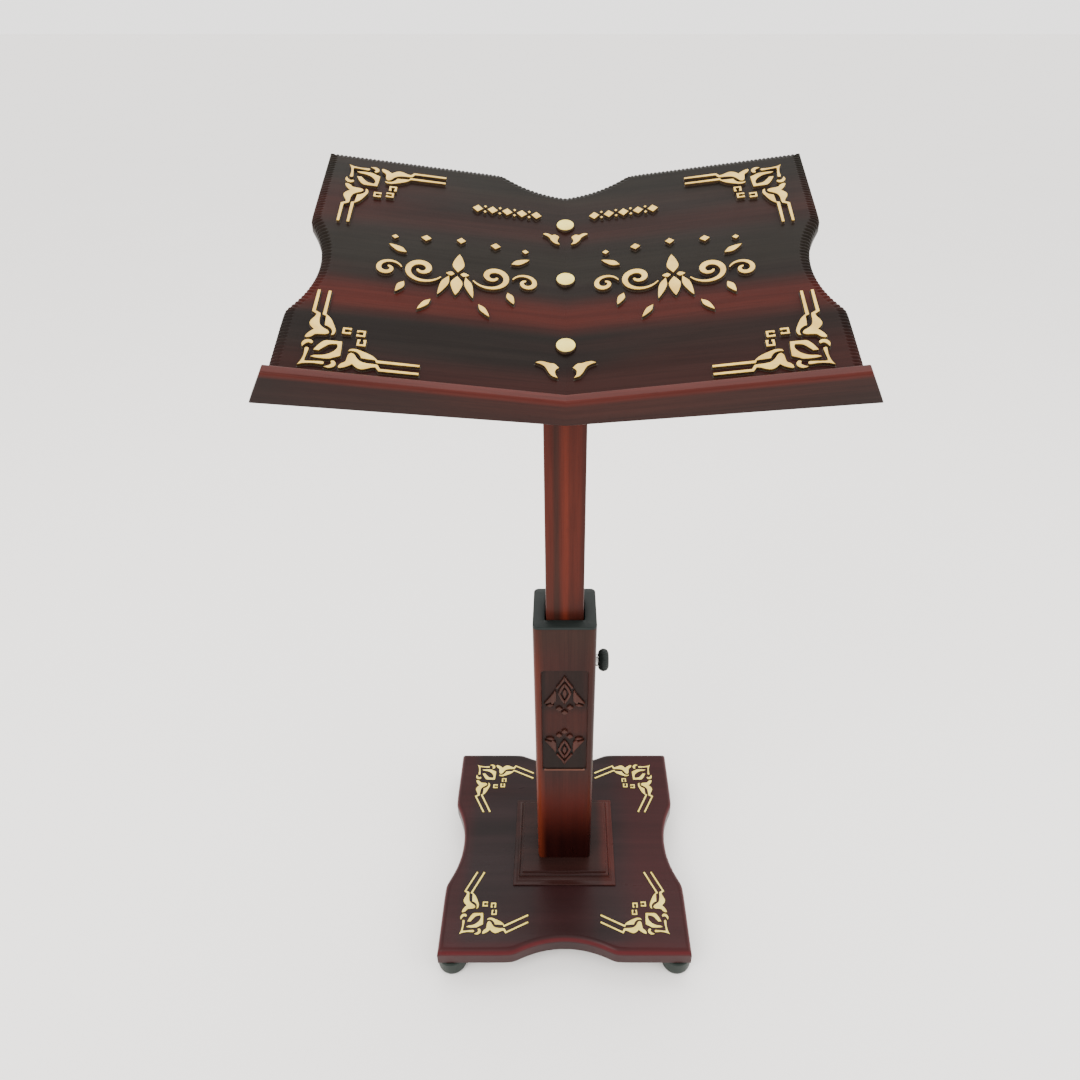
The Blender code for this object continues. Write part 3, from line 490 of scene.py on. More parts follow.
def spline_outline(points, steps=6):
    """A closed outline through the points; a third value of 1 marks a sharp corner."""
    count = len(points)
    result = []
    for index in range(count):
        here = Vector(points[index][:2])
        after = Vector(points[(index + 1) % count][:2])
        sharp_here = len(points[index]) > 2
        sharp_after = len(points[(index + 1) % count]) > 2
        before = Vector(points[index - 1][:2])
        beyond = Vector(points[(index + 2) % count][:2])
        leave = after - here if sharp_here else (after - before) / 2.0
        arrive = after - here if sharp_after else (beyond - here) / 2.0
        limit = 1.2 * (after - here).length
        leave, arrive = (v.normalized() * limit if v.length > limit else v for v in (leave, arrive))
        amount = 1 if sharp_here and sharp_after else steps
        for step in range(amount):
            part = step / amount
            square, cube = part ** 2, part ** 3
            result.append(tuple(
                (2 * cube - 3 * square + 1) * here + (cube - 2 * square + part) * leave
                + (3 * square - 2 * cube) * after + (cube - square) * arrive))
    return result


def in_metres(outlines):
    return [[(x * MM, y * MM) for x, y in outline] for outline in outlines]


def stroke_outline(centre, widths):
    """An outline around a centre line with a width at each of its points."""
    left, right = [], []
    for index, point in enumerate(centre):
        here = Vector(point)
        ahead = Vector(centre[min(index + 1, len(centre) - 1)])
        behind = Vector(centre[max(index - 1, 0)])
        direction = (ahead - behind).normalized()
        side = Vector((-direction.y, direction.x)) * widths[index] / 2
        left.append(tuple(here + side))
        right.append(tuple(here - side))
    return left + right[::-1]


def raised_mesh(name, outlines, base, height, edge):
    """Flat raised shapes with rounded upper edges; faces that look up get material 0, the rest 1."""
    bm = bmesh.new()
    for outline in outlines:
        curve = bpy.data.curves.new(name, "CURVE")
        curve.dimensions = "2D"
        curve.fill_mode = "BOTH"
        curve.extrude = height / 2 - edge
        curve.bevel_depth = edge
        curve.bevel_resolution = 1
        curve.offset = -edge
        spline = curve.splines.new("POLY")
        spline.points.add(len(outline) - 1)
        for point, (x, y) in zip(spline.points, outline):
            point.co = (x, y, 0.0, 1.0)
        spline.use_cyclic_u = True
        mesh = settled_mesh(place_in_scene(name + "_outline", curve))
        bm.from_mesh(mesh)
        bpy.data.meshes.remove(mesh)
    bmesh.ops.remove_doubles(bm, verts=bm.verts, dist=2e-6)
    bmesh.ops.translate(bm, vec=(0, 0, base + height / 2), verts=bm.verts)
    bmesh.ops.recalc_face_normals(bm, faces=bm.faces)
    bm.normal_update()
    top = base + height
    # Faces that do not look up get material 1; on the gilt pieces that is the dark side material, painted shade
    # on the side walls.
    for face in bm.faces:
        looks_up = face.normal.z > 0.35 and face.calc_center_median().z > top - 1.5 * edge
        face.material_index = 0 if looks_up else 1
    result = bpy.data.meshes.new(name)
    bm.to_mesh(result)
    bm.free()
    return result


def grown(outline, amount):
    """The outline moved outwards by a small amount."""
    area = sum(a[0] * b[1] - b[0] * a[1] for a, b in zip(outline, outline[1:] + outline[:1]))
    turn = 1.0 if area > 0 else -1.0
    result = []
    count = len(outline)
    for index in range(count):
        before = Vector(outline[index - 1])
        here = Vector(outline[index])
        after = Vector(outline[(index + 1) % count])
        first = (here - before).normalized()
        second = (after - here).normalized()
        out_first = Vector((first.y, -first.x)) * turn
        out_second = Vector((second.y, -second.x)) * turn
        out = out_first + out_second
        if out.length < 0.3:
            out = out_first + first
        out = out.normalized()
        share = max(0.45, out.dot(out_first))
        result.append(tuple(here + out * min(amount / share, 1.8 * amount)))
    return result


# ---------------------------------------------------------------- ornament outlines, in millimetres

def swap(points):
    return [(point[1], point[0], *point[2:]) for point in reversed(points)]


BRACKET_ARM = [(4.2, 1.9), (11.2, 3.1), (18.6, 2.8), (19.5, 4.2), (18.4, 5.7), (13.0, 5.3), (6.6, 4.6)]
BRACKET = [(0.0, 0.0, 1)] + BRACKET_ARM + [(4.8, 4.8, 1)] + swap(BRACKET_ARM)
HOOK = [(19.8, 0.4, 1), (24.0, -0.5), (27.7, 1.8), (28.2, 5.4), (26.2, 7.6), (24.2, 6.8), (24.9, 4.4),
        (23.2, 2.2)]
EYE = [(8.3, 9.9, 1), (13.7, 9.1), (22.0, 9.3), (25.8, 11.2), (30.3, 13.5, 1), (30.1, 21.0), (29.4, 29.4, 1),
       (21.4, 29.3), (16.3, 28.7), (12.5, 24.2), (9.3, 17.5, 1), (13.4, 17.3, 1), (16.6, 21.4), (20.3, 24.9),
       (25.9, 26.2, 1), (26.9, 23.4), (25.8, 19.6), (22.7, 15.8), (17.6, 12.8), (11.2, 11.6)]
PALMETTE = [(55.2, 4.3), (51.4, 2.4), (47.5, 1.4), (43.7, 2.9), (40.4, 6.1, 1), (38.3, 4.1), (34.8, 1.8),
            (31.2, 0.6), (30.5, 2.4), (32.0, 5.4), (34.8, 7.8), (35.5, 11.5), (36.0, 15.6), (37.9, 17.9),
            (40.6, 16.6), (43.1, 12.8), (46.3, 9.7), (51.4, 8.4)]
BLADE = [(51.4, 13.0), (46.2, 13.4, 1), (45.0, 16.2), (42.2, 19.2), (38.6, 20.2), (35.4, 19.7, 1), (37.0, 22.0),
         (41.2, 22.6), (45.0, 21.4), (51.4, 18.6)]


def bar_ends(points, pivot, bend):
    """The far end of a bar, turned about its pivot."""
    turn = Matrix.Rotation(bend, 2)
    pivot = Vector(pivot)
    return [tuple(pivot + turn @ (Vector(point) - pivot)) + (1,) for point in points]


def arm_outlines(length, bend):
    """The palmette with its outer bar, and the blade with its inner bar."""
    outer_far = bar_ends([(length, 3.5), (length, 1.2)], (61.0, 2.4), bend)
    inner_far = bar_ends([(length, 12.2), (length, 9.9)], (58.5, 11.0), bend)
    palmette = [outer_far[1], (61.0, 1.0, 1), (58.2, 5.0, 1)] + PALMETTE
    palmette += [(57.0, 8.2), (59.6, 7.8, 1), (62.0, 3.7, 1), outer_far[0]]
    blade = [inner_far[1], (58.3, 9.7, 1), (57.0, 12.7, 1)] + BLADE
    blade += [(55.6, 16.0), (58.9, 12.5, 1), inner_far[0]]
    return [palmette, blade]


def small_square(centre, turn_degrees, size=7.0, wall=1.8, gap=2.2):
    """A little square ring, open on one side."""
    half, inner, slit = size / 2, size / 2 - wall, gap / 2
    points = [(half, slit), (half, half), (-half, half), (-half, -half), (half, -half), (half, -slit),
              (inner, -slit), (inner, -inner), (-inner, -inner), (-inner, inner), (inner, inner), (inner, slit)]
    turn = Matrix.Rotation(math.radians(turn_degrees), 2)
    return [tuple(Vector(centre) + turn @ Vector(point)) + (1,) for point in points]


def corner_outlines(long_arm, short_arm, bend, square_turns):
    """All outlines of one corner ornament; a runs from the corner along X and b along Y."""
    shapes = [BRACKET, HOOK, swap(HOOK), EYE]
    shapes += arm_outlines(long_arm, bend)
    shapes += [swap(shape) for shape in arm_outlines(short_arm, bend)]
    for centre, turn in zip(((44.2, 30.2), (42.6, 40.6), (31.3, 42.2)), square_turns):
        shapes.append(small_square(centre, turn))
    return in_metres(spline_outline(shape) for shape in shapes)


REAR_FLAME = [(5.5, 196.0, 1), (9.8, 196.9), (13.2, 200.2), (15.2, 204.3), (17.7, 206.6), (21.2, 208.4, 1),
              (20.2, 209.8), (16.9, 210.1), (13.2, 208.2, 1), (9.8, 209.6), (6.3, 206.9), (7.4, 203.1),
              (7.6, 199.4)]
FRONT_FLAME = [(6.9, 23.6, 1), (11.1, 25.0), (14.0, 28.3), (16.1, 32.7), (18.1, 35.6), (21.5, 37.6),
               (25.2, 38.6, 1), (21.4, 40.5), (16.9, 40.2), (14.0, 39.4), (9.8, 39.1), (6.1, 35.3, 1),
               (8.9, 31.8), (8.9, 27.4)]


def spiral(centre, start_radius, end_radius, start_degrees, sweep_degrees, steps=40):
    """Points of a spiral that tightens evenly in ratio."""
    points = []
    for step in range(steps + 1):
        part = step / steps
        radius = start_radius * (end_radius / start_radius) ** part
        angle = math.radians(start_degrees + sweep_degrees * part)
        points.append((centre[0] + radius * math.cos(angle), centre[1] + radius * math.sin(angle)))
    return points


def tapered(count, start, full, end, peak=0.45):
    """Stroke widths that swell to full and taper at both ends."""
    widths = []
    for index in range(count):
        part = index / (count - 1)
        if part < peak:
            share = math.sin(part / peak * math.pi / 2)
            widths.append(start + (full - start) * share)
        else:
            share = math.cos((part - peak) / (1 - peak) * math.pi / 2)
            widths.append(end + (full - end) * share)
    return widths


def lozenge(centre, width, height):
    x, y = centre
    return [(x + width / 2, y, 1), (x, y + height / 2, 1), (x - width / 2, y, 1), (x, y - height / 2, 1)]


def leaf_shape(base, tip, belly):
    """A pointed leaf from base to tip."""
    start, end = Vector(base), Vector(tip)
    run = end - start
    side = Vector((-run.y, run.x)).normalized() * belly / 2
    return [(*start, 1), tuple(start + run * 0.35 - side), tuple(start + run * 0.75 - 0.6 * side), (*end, 1),
            tuple(start + run * 0.75 + 0.6 * side), tuple(start + run * 0.35 + side)]


def scroll_outlines():
    """A symmetric scroll: a flower in the middle and rolled stems with leaves on either side."""
    middle, level = 95.0, 137.0
    shapes = []
    for sign in (1, -1):
        def flip(points, sign=sign):
            turned = [(middle + sign * (x - middle), *rest) for x, *rest in points]
            return turned if sign > 0 else turned[::-1]

        roll = spiral((middle + 31, level + 2), 19.0, 3.4, 205, 500)
        shapes.append(flip(stroke_outline(roll, tapered(len(roll), 1.2, 5.6, 2.0))))
        curl = spiral((middle + 60, level - 2), 12.5, 2.8, 165, -430)
        shapes.append(flip(stroke_outline(curl, tapered(len(curl), 1.0, 4.4, 1.8))))
        for shape in (
            leaf_shape((middle + 7, level - 3), (middle + 15, level - 29), 6.5),
            leaf_shape((middle + 46, level + 22), (middle + 62, level + 31), 6.0),
            leaf_shape((middle + 44, level - 17), (middle + 50, level - 31), 6.0),
            lozenge((middle + 31, level + 45), 9.0, 8.0),
            lozenge((middle + 58, level + 42), 6.0, 5.5),
            leaf_shape((middle + 20, level - 36), (middle + 30, level - 50), 5.0),
        ):
            shapes.append(flip(spline_outline(shape)))
    for direction, length, belly in (((0, 1), 25, 10.0), ((0, -1), 25, 10.0), ((1, 0), 7.5, 5.0),
                                     ((-1, 0), 7.5, 5.0)):
        base = Vector((middle, level)) + Vector(direction) * 2.5
        shapes.append(spline_outline(leaf_shape(base, base + Vector(direction) * length, belly)))
    shapes.append(spline_outline(lozenge((middle, level + 47), 8.0, 8.0)))
    return in_metres(shapes)


def chain_outlines():
    """A row of lozenges with small dots between them."""
    shapes = []
    for index in range(5):
        x = 28.0 + 13.8 * index
        shapes.append(lozenge((x, 236.0), 9.6, 10.5))
        if index < 4:
            shapes.append(lozenge((x + 6.9, 240.0), 2.8, 3.6))
            shapes.append(lozenge((x + 6.9, 232.0), 2.8, 3.6))
    return in_metres(spline_outline(shape) for shape in shapes)


# ---------------------------------------------------------------- desk

def leaf_profile():
    """Rows of the leaf's edge as (inward, height, flute share, side share), from bottom to top."""
    bottom = -LEAF_THICKNESS
    rows = [(0.0016, bottom, 0.0, 0.0), (0.0004, bottom + 0.0005, 0.0, 0.0), (0.0, bottom + 0.0018, 0.0, 0.0),
            (0.0, -0.0098, 0.0, 0.0), (0.0, -0.0078, 0.0, 0.5), (0.0, -RIM_DROP - 0.0008, 0.1, 1.0)]
    for step in range(11):
        inward = RIM_WIDTH * step / 10
        share = (min(1.0, (RIM_WIDTH - inward) / (0.22 * RIM_WIDTH))
                 * min(1.0, 0.45 + inward / (0.25 * RIM_WIDTH)))
        rows.append((inward, height_at(inward), share, max(0.0, 1.0 - step / 2)))
    rows.append((RIM_WIDTH + 0.0006, 0.0, 0.0, 0.0))
    return rows


def flute(run):
    """0 on a ridge and 1 in the middle of a groove, along the edge."""
    wave = 0.5 - 0.5 * math.cos(2 * math.pi * run / FLUTE_PITCH)
    return wave ** 1.6


def leaf_columns():
    """(place, inward direction, room to the corner, run) along the fluted side and top edges."""
    spacing = FLUTE_PITCH / 8
    columns = []
    steps = round(LEAF_LENGTH / spacing)
    for step in range(steps + 1):
        t = LEAF_LENGTH * step / steps
        cut = scallop_inward(t - WAIST_CENTRE, WAIST_RADIUS, WAIST_DEPTH)
        slope = scallop_slope(t - WAIST_CENTRE, WAIST_RADIUS, WAIST_DEPTH)
        inward = Vector((-1.0, -slope)).normalized()
        columns.append((Vector((LEAF_WIDTH - cut, t)), inward, LEAF_LENGTH - t, t))
    steps = round(LEAF_WIDTH / spacing)
    for step in range(1, steps + 1):
        s = LEAF_WIDTH * (1 - step / steps)
        cut = scallop_inward(s, CROWN_RADIUS, CROWN_DEPTH, 0.004)
        slope = scallop_slope(s, CROWN_RADIUS, CROWN_DEPTH, 0.004)
        inward = Vector((-slope, -1.0)).normalized() if s > 0 else Vector((0.0, -1.0))
        columns.append((Vector((s, LEAF_LENGTH - cut)), inward, LEAF_WIDTH - s, LEAF_WIDTH - s))
    return columns


def leaf_mesh(mirror):
    """One leaf: fluted rim on its side and top edges, a mitre at the fold and a straight front."""
    groove = 0.0011
    notch = 0.0005
    tangent = math.tan(LEAF_RISE)
    columns = leaf_columns()
    last = len(columns) - 1
    bm = bmesh.new()
    rows = []
    for inward, height, flute_share, side_share in leaf_profile():
        fold = height * tangent
        row = [bm.verts.new((fold, 0.0, height))]
        for index, (place, direction, room, run) in enumerate(columns):
            amount = flute(run)
            reach = min(inward, room) + notch * side_share * amount * min(1.0, room / 0.004)
            x, y = place + direction * reach
            if index == last:
                x = fold
            level = height
            if room < inward and height > -0.5 * LEAF_THICKNESS:
                level = height_at(room)
            level -= groove * flute_share * amount * min(1.0, room / 0.003)
            row.append(bm.verts.new((x, y, level)))
        rows.append(row)
    bridge_rows(bm, rows)
    close_rims(bm, -0.5 * LEAF_THICKNESS)
    return mesh_of(bm, "leaf", mirror)


def height_at(inward):
    """Height of the rounded rim this far in from the edge."""
    if inward >= RIM_WIDTH:
        return 0.0
    return -RIM_DROP * (1 - math.sqrt(max(0.0, 1 - ((RIM_WIDTH - inward) / RIM_WIDTH) ** 2)))


def make_leaves():
    for side, mirror in SIDES:
        finish_piece(side + "_leaf_fluted", leaf_mesh(mirror), [LEAF_WOOD], "post",
                     [side + "_leaf"], LEAF_FRAMES[side], sharp=50.0)


def ledge_section(outer):
    """The ledge's cross-section as (t, n) points with rounded corners."""
    drop = LEDGE_DROP_OUTER if outer else LEDGE_DROP_INNER
    corners = [(-GAP, LEDGE_LIP), (-LEDGE_DEPTH, LEDGE_LIP), (-LEDGE_FORWARD, -drop), (-GAP, -drop)]
    closed = [corners[-1]] + corners + [corners[0]]
    return rounded_profile(closed, (0.0, 0.0018, 0.0022, 0.0015, 0.001, 0.0))[1:-1]


def ledge_mesh(mirror):
    """One half of the ledge. Its mitred end has vertices of its own, so that it stays sharp."""
    stations = 30
    inner, outer = ledge_section(False), ledge_section(True)
    tangent = math.tan(LEAF_RISE)
    full = LEDGE_LIP + LEDGE_DROP_OUTER
    bm = bmesh.new()
    rows = []
    for station in range(stations + 1):
        part = station / stations
        row = []
        for (t0, n0), (t1, n1) in zip(inner, outer):
            start = Vector((n0 * tangent, t0, n0))
            end = Vector((LEAF_WIDTH + LEDGE_FLARE * (LEDGE_LIP - n1) / full, t1, n1))
            row.append(bm.verts.new(start.lerp(end, part)))
        rows.append(row)
    bridge_rows(bm, rows)
    bm.faces.new([bm.verts.new(vertex.co) for vertex in rows[0]])
    bm.faces.new(rows[-1])
    return mesh_of(bm, "ledge", mirror)


def make_ledges():
    for side, mirror in SIDES:
        finish_piece(side + "_ledge_moulded", ledge_mesh(mirror), [LEDGE_WOOD], "post", [side + "_ledge"],
                     LEAF_FRAMES[side], bevel=0.0009, bevel_angle=50.0)


def mirrored_outlines(outlines):
    return [[(-x, y) for x, y in reversed(outline)] for outline in outlines]


def add_trim(node, outlines, body, matrix, base, height, top_material):
    """Raised gilt shapes with painted-shade sides, on a thin dark line around them that is a dark outline and
    painted shadow in one.
    """
    line_height = min(0.00025, 0.5 * height)
    raised = raised_mesh(node, outlines, base, height, min(0.0003, 0.3 * height))
    finish_piece(node + "_gilt", raised, [top_material, GILT_SIDE_SHADE], body, [node], matrix, sharp=28.0)
    backing = raised_mesh(node + "_line", [grown(outline, 0.0008) for outline in outlines],
                          base - 0.5 * GAP, line_height, 0.00005)
    finish_piece(node + "_line", backing, [OUTLINE_AND_SHADOW, OUTLINE_AND_SHADOW], body, [], matrix, sharp=40.0)


def make_leaf_trim():
    for side, _ in SIDES:
        shapes = {"scroll": scroll_outlines(), "chain": chain_outlines(),
                  "flame_rear": in_metres([spline_outline(REAR_FLAME)]),
                  "flame_front": in_metres([spline_outline(FRONT_FLAME)])}
        for label, (corner_t, sign) in CORNER_T.items():
            shapes["leaf_corner_" + label] = [
                [(CORNER_S - a, corner_t + sign * b) for a, b in outline]
                for outline in corner_outlines(91.5, 87.5, 0.0, (90, 180, 0))]
        for label, outlines in shapes.items():
            if side == "left":
                outlines = mirrored_outlines(outlines)
            node = side + "_" + label
            add_trim(node, outlines, "post", LEAF_FRAMES[side], GAP * 0.2,
                     TRIM_HEIGHT + GAP * 0.8, GILT)


def make_discs():
    """Domed discs on the fold line."""
    tangent = math.tan(LEAF_RISE)
    for label in ("front", "middle", "rear"):
        node = "fold_disc_" + label
        low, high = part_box(node)
        centre = DESK.inverted() @ ((low + high) / 2)
        radius = 0.0084
        profile = [(0.0, 0.0036), (0.005, 0.0036), (0.0078, 0.00345), (radius - 0.0004, 0.0031),
                   (radius, 0.0026), (radius, 0.0)]
        bm = bmesh.new()
        steps = 48
        rows = []
        for reach, height in profile[1:]:
            row = []
            for step in range(steps):
                angle = 2 * math.pi * step / steps
                x = reach * math.cos(angle)
                level = height if height > 0.0 else abs(x) * tangent + GAP * 0.3
                row.append(bm.verts.new((x, reach * math.sin(angle), level)))
            rows.append(row)
        bridge_rows(bm, rows)
        bm.faces.new(rows[0])
        bottom = bm.faces.new(rows[-1])
        bmesh.ops.triangulate(bm, faces=[bottom])
        bm.normal_update()
        for face in bm.faces:
            # The disc's sides take the dark side material: painted shade.
            face.material_index = 0 if face.calc_center_median().z > 0.0029 else 1
        matrix = DESK @ Matrix.Translation((0.0, centre.y, 0.0))
        finish_piece(node + "_gilt", mesh_of(bm, node), [PALE_GILT, GILT_SIDE_SHADE], "post", [node],
                     matrix, sharp=50.0)


def make_under_desk():
    for node in ("desk_saddle", "front_rail", "rear_rail"):
        dressed_copy(node, UNDER_WOOD, "post", 0.0012)


# ---------------------------------------------------------------- post and column

def square_ring(half, radius, steps):
    """A square with rounded corners, counter-clockwise."""
    points = []
    for quarter in range(4):
        middle = quarter * math.pi / 2 + math.pi / 4
        centre = Vector((math.copysign(half - radius, math.cos(middle)),
                         math.copysign(half - radius, math.sin(middle))))
        for step in range(steps + 1):
            angle = quarter * math.pi / 2 + step / steps * math.pi / 2
            points.append(centre + radius * Vector((math.cos(angle), math.sin(angle))))
    return points


def make_post():
    """The sliding post: eased corners, and a top cut parallel to the saddle."""
    half = (POST_HIGH.x - POST_LOW.x) / 2
    desk_up = DESK.to_3x3() @ Vector((0, 0, 1))
    on_cut = FOLD_FRONT - desk_up * (SADDLE_HEIGHT + GAP)
    bm = bmesh.new()
    ring = square_ring(half, 0.0022, 4)
    rows = [[bm.verts.new((p.x * 0.96, p.y * 0.96, POST_LOW.z)) for p in ring],
            [bm.verts.new((p.x, p.y, POST_LOW.z + 0.0008)) for p in ring]]
    top = []
    for p in ring:
        height = on_cut.z - (desk_up.x * (p.x - on_cut.x) + desk_up.y * (p.y - on_cut.y)) / desk_up.z
        top.append(bm.verts.new((p.x, p.y, height)))
    rows.append(top)
    bridge_rows(bm, rows, ends=True)
    finish_piece("inner_post_eased", mesh_of(bm, "post"), [POST_WOOD], "post", ["inner_post"],
                 sharp=45.0)


def board_section(half, inner, radius):
    """The front board's plan: flat back, rounded outer corners."""
    points = [(half, -inner), (-half, -inner)]
    for centre_x, start in ((-half + radius, math.pi), (half - radius, 1.5 * math.pi)):
        for step in range(7):
            angle = start + step / 6 * math.pi / 2
            points.append((centre_x + radius * math.cos(angle), -half + radius + radius * math.sin(angle)))
    return points


def board_mesh(flip):
    """The front board, or the rear board when flipped."""
    half = -COLUMN_LOW.y
    inner = -COLUMN_HIGH.y
    bm = bmesh.new()
    rows = []
    for height in (COLUMN_LOW.z, COLUMN_HIGH.z):
        rows.append([bm.verts.new((x, y, height)) for x, y in board_section(half, inner, 0.006)])
    bridge_rows(bm, rows, ends=True)
    return mesh_of(bm, "board", (1.0, -1.0 if flip else 1.0, 1.0))


def relief_outlines():
    """One carved motif, its point at the origin and its body along -Y, in millimetres."""
    chevron = [(0, 0, 1), (4, -8), (10.5, -18.5, 1), (8.2, -20, 1), (3.6, -12.5), (0, -6.5, 1)]
    ring = [(0, -11, 1), (4.5, -18), (8.2, -28, 1), (4.5, -38), (0, -46, 1), (0, -40, 1), (3, -34), (5, -28, 1),
            (3, -22.5), (0, -17, 1)]
    bud = [(0, -20, 1), (2.4, -27), (0, -36, 1), (-2.4, -27)]
    wing = [(11.6, -22, 1), (13.4, -27), (16.5, -32), (20.5, -38), (25, -45, 1), (19.5, -43.5), (16.5, -42, 1),
            (15, -45.5), (10.6, -40.5, 1), (10.2, -34), (10.2, -27)]
    feather = [(17.5, -45, 1), (23, -48.5, 1), (17, -50), (12.6, -47, 1)]
    shapes = [bud]
    for shape in (chevron, ring, wing, feather):
        shapes += [shape, [(-x, *rest) for x, *rest in reversed(shape)]]
    for x, y in ((-6.6, -53.5), (0.0, -60.0), (6.6, -51.5)):
        shapes.append(lozenge((x, y), 8.4, 8.4))
    return [spline_outline(shape) for shape in shapes]


def panel_cutter():
    """The body that cuts the sunk panel: rounded corners and sloping lower edges."""
    face, radius = COLUMN_LOW.y, 0.005
    outline = []
    for x, z, start in ((PANEL_HALF_WIDTH, PANEL_HIGH, 0.0), (-PANEL_HALF_WIDTH, PANEL_HIGH, 0.5),
                        (-PANEL_HALF_WIDTH, PANEL_LOW, 1.0), (PANEL_HALF_WIDTH, PANEL_LOW, 1.5)):
        centre = Vector((x - math.copysign(radius, x), z + (radius if z == PANEL_LOW else -radius)))
        for step in range(6):
            angle = (start + 0.5 * step / 5) * math.pi
            outline.append(centre + radius * Vector((math.cos(angle), math.sin(angle))))
    middle = Vector((0.0, (PANEL_LOW + PANEL_HIGH) / 2))
    floor = face + PANEL_DEPTH
    bm = bmesh.new()
    rows = []
    for y, grow in ((face - 0.004, 0.003), (floor - 0.0008, 0.0), (floor - 0.0002, -0.0003),
                    (floor, -PANEL_SLOPE)):
        rows.append([bm.verts.new((point.x + math.copysign(grow, point.x - middle.x), y,
                                   point.y + math.copysign(grow, point.y - middle.y))) for point in outline])
    bridge_rows(bm, rows, ends=True)
    return place_in_scene("panel_cutter", mesh_of(bm, "panel_cutter"))


def make_carved_front():
    """The front board with its sunk panel and two carved motifs, point up and point down."""
    board = place_in_scene("column_front_carved", board_mesh(False))
    face = COLUMN_LOW.y
    cutter = panel_cutter()
    cut = board.modifiers.new("panel", "BOOLEAN")
    cut.operation = "DIFFERENCE"
    cut.solver = "EXACT"
    cut.object = cutter
    carved = settled_mesh(board)
    bpy.data.objects.remove(cutter, do_unlink=True)
    # The panel's floor and side walls take the darker ground (painted shade in the recess); its upper and lower
    # walls take the light edge (painted highlight).
    for polygon in carved.polygons:
        sunk, centre = polygon.center.y - face, polygon.center
        in_panel = (abs(centre.x) < PANEL_HALF_WIDTH
                    and PANEL_LOW - PANEL_SLOPE < centre.z < PANEL_HIGH + PANEL_SLOPE)
        if sunk > PANEL_DEPTH - 0.0004 and polygon.normal.y < -0.9 and centre.z > PANEL_LOW:
            polygon.material_index = 1
        elif 0.0002 < sunk < PANEL_DEPTH and in_panel:
            polygon.material_index = 2 if abs(polygon.normal.z) > abs(polygon.normal.x) else 1
    bm = bmesh.new()
    bm.from_mesh(carved)
    stand = Matrix.Translation((0.0, face + PANEL_DEPTH, 0.0)) @ Matrix.Rotation(math.pi / 2, 4, "X")
    for tip, sign in MOTIF_TIPS:
        outlines = []
        for outline in relief_outlines():
            points = [(x * MM, tip + sign * y * MM) for x, y in outline]
            outlines.append(points if sign > 0 else points[::-1])
        relief = raised_mesh("relief", outlines, -0.0004, 0.0029, 0.0009)
        relief.transform(stand)
        # The carving takes the lighter relief wood: painted highlight on the raised motifs.
        for polygon in relief.polygons:
            polygon.material_index = 3
        bm.from_mesh(relief)
        bpy.data.meshes.remove(relief)
    bm.to_mesh(carved)
    bm.free()
    finish_piece("column_front_carved", carved, [COLUMN_WOOD, PANEL_GROUND_SHADE, PANEL_EDGE_HIGHLIGHT, RELIEF_HIGHLIGHT_WOOD], "base",
                 ["column_front_board"], sharp=38.0)


def make_column():
    make_carved_front()
    finish_piece("column_rear_eased", board_mesh(True), [COLUMN_WOOD], "base", ["column_rear_board"],
                 sharp=38.0)
    for side in ("left", "right"):
        dressed_copy("column_%s_board" % side, COLUMN_WOOD, "base", 0.0003)


def make_cap_plate():
    """The black cap: rounded corners, a square opening and a soft upper edge."""
    half = CAP_HIGH.x
    height = CAP_HIGH.z - CAP_LOW.z
    outer = [tuple(p) for p in square_ring(half, 0.006, 8)]
    inner = [tuple(p) for p in square_ring(CAP_OPENING_HALF, 0.0012, 4)]
    bm = bmesh.new()
    rows = []
    ease = 0.0008
    for inset, level, ring, grow in (
        (0.0, 0.0, outer, 0), (0.0, height - ease, outer, 0), (ease * 0.3, height - ease * 0.3, outer, -1),
        (ease, height, outer, -1),
    ):
        scale = (half + grow * inset) / half
        rows.append([bm.verts.new((x * scale, y * scale, CAP_LOW.z + level)) for x, y in ring])
    bridge_rows(bm, rows)
    inner_rows = []
    for inset, level in ((ease, height), (ease * 0.3, height - ease * 0.3), (0.0, height - ease), (0.0, 0.0)):
        scale = (CAP_OPENING_HALF + inset) / CAP_OPENING_HALF
        inner_rows.append([bm.verts.new((x * scale, y * scale, CAP_LOW.z + level)) for x, y in inner])
    bridge_rows(bm, inner_rows)
    for first, second in ((rows[-1], inner_rows[0]), (rows[0], inner_rows[-1])):
        edges = []
        for ring in (first, second):
            for index, vertex in enumerate(ring):
                edges.append(bm.edges.get((vertex, ring[(index + 1) % len(ring)])))
        bmesh.ops.triangle_fill(bm, edges=edges, use_beauty=True)
    finish_piece("column_cap_moulded", mesh_of(bm, "cap"), [BLACK_PLASTIC], "base", ["column_cap_plate"],
                 sharp=40.0)


# ---------------------------------------------------------------- base

def base_ring():
    """(place, inward direction, room to the corner) around the scalloped square."""
    half = BASE_HIGH.x
    steps = 96
    columns = []
    places = [half * (2 * step / steps - 1) for step in range(steps)]
    places = sorted(places + [BASE_ROUND - half, half - BASE_ROUND])
    for quarter in range(4):
        turn = Matrix.Rotation(quarter * math.pi / 2, 2)
        for x in places:
            cut = scallop_inward(x, SCALLOP_RADIUS, SCALLOP_DEPTH, 0.003)
            slope = scallop_slope(x, SCALLOP_RADIUS, SCALLOP_DEPTH, 0.003)
            place = turn @ Vector((x, -half + cut))
            inward = turn @ Vector((-slope, 1.0)).normalized()
            columns.append((place, inward, half - abs(x)))
    return columns


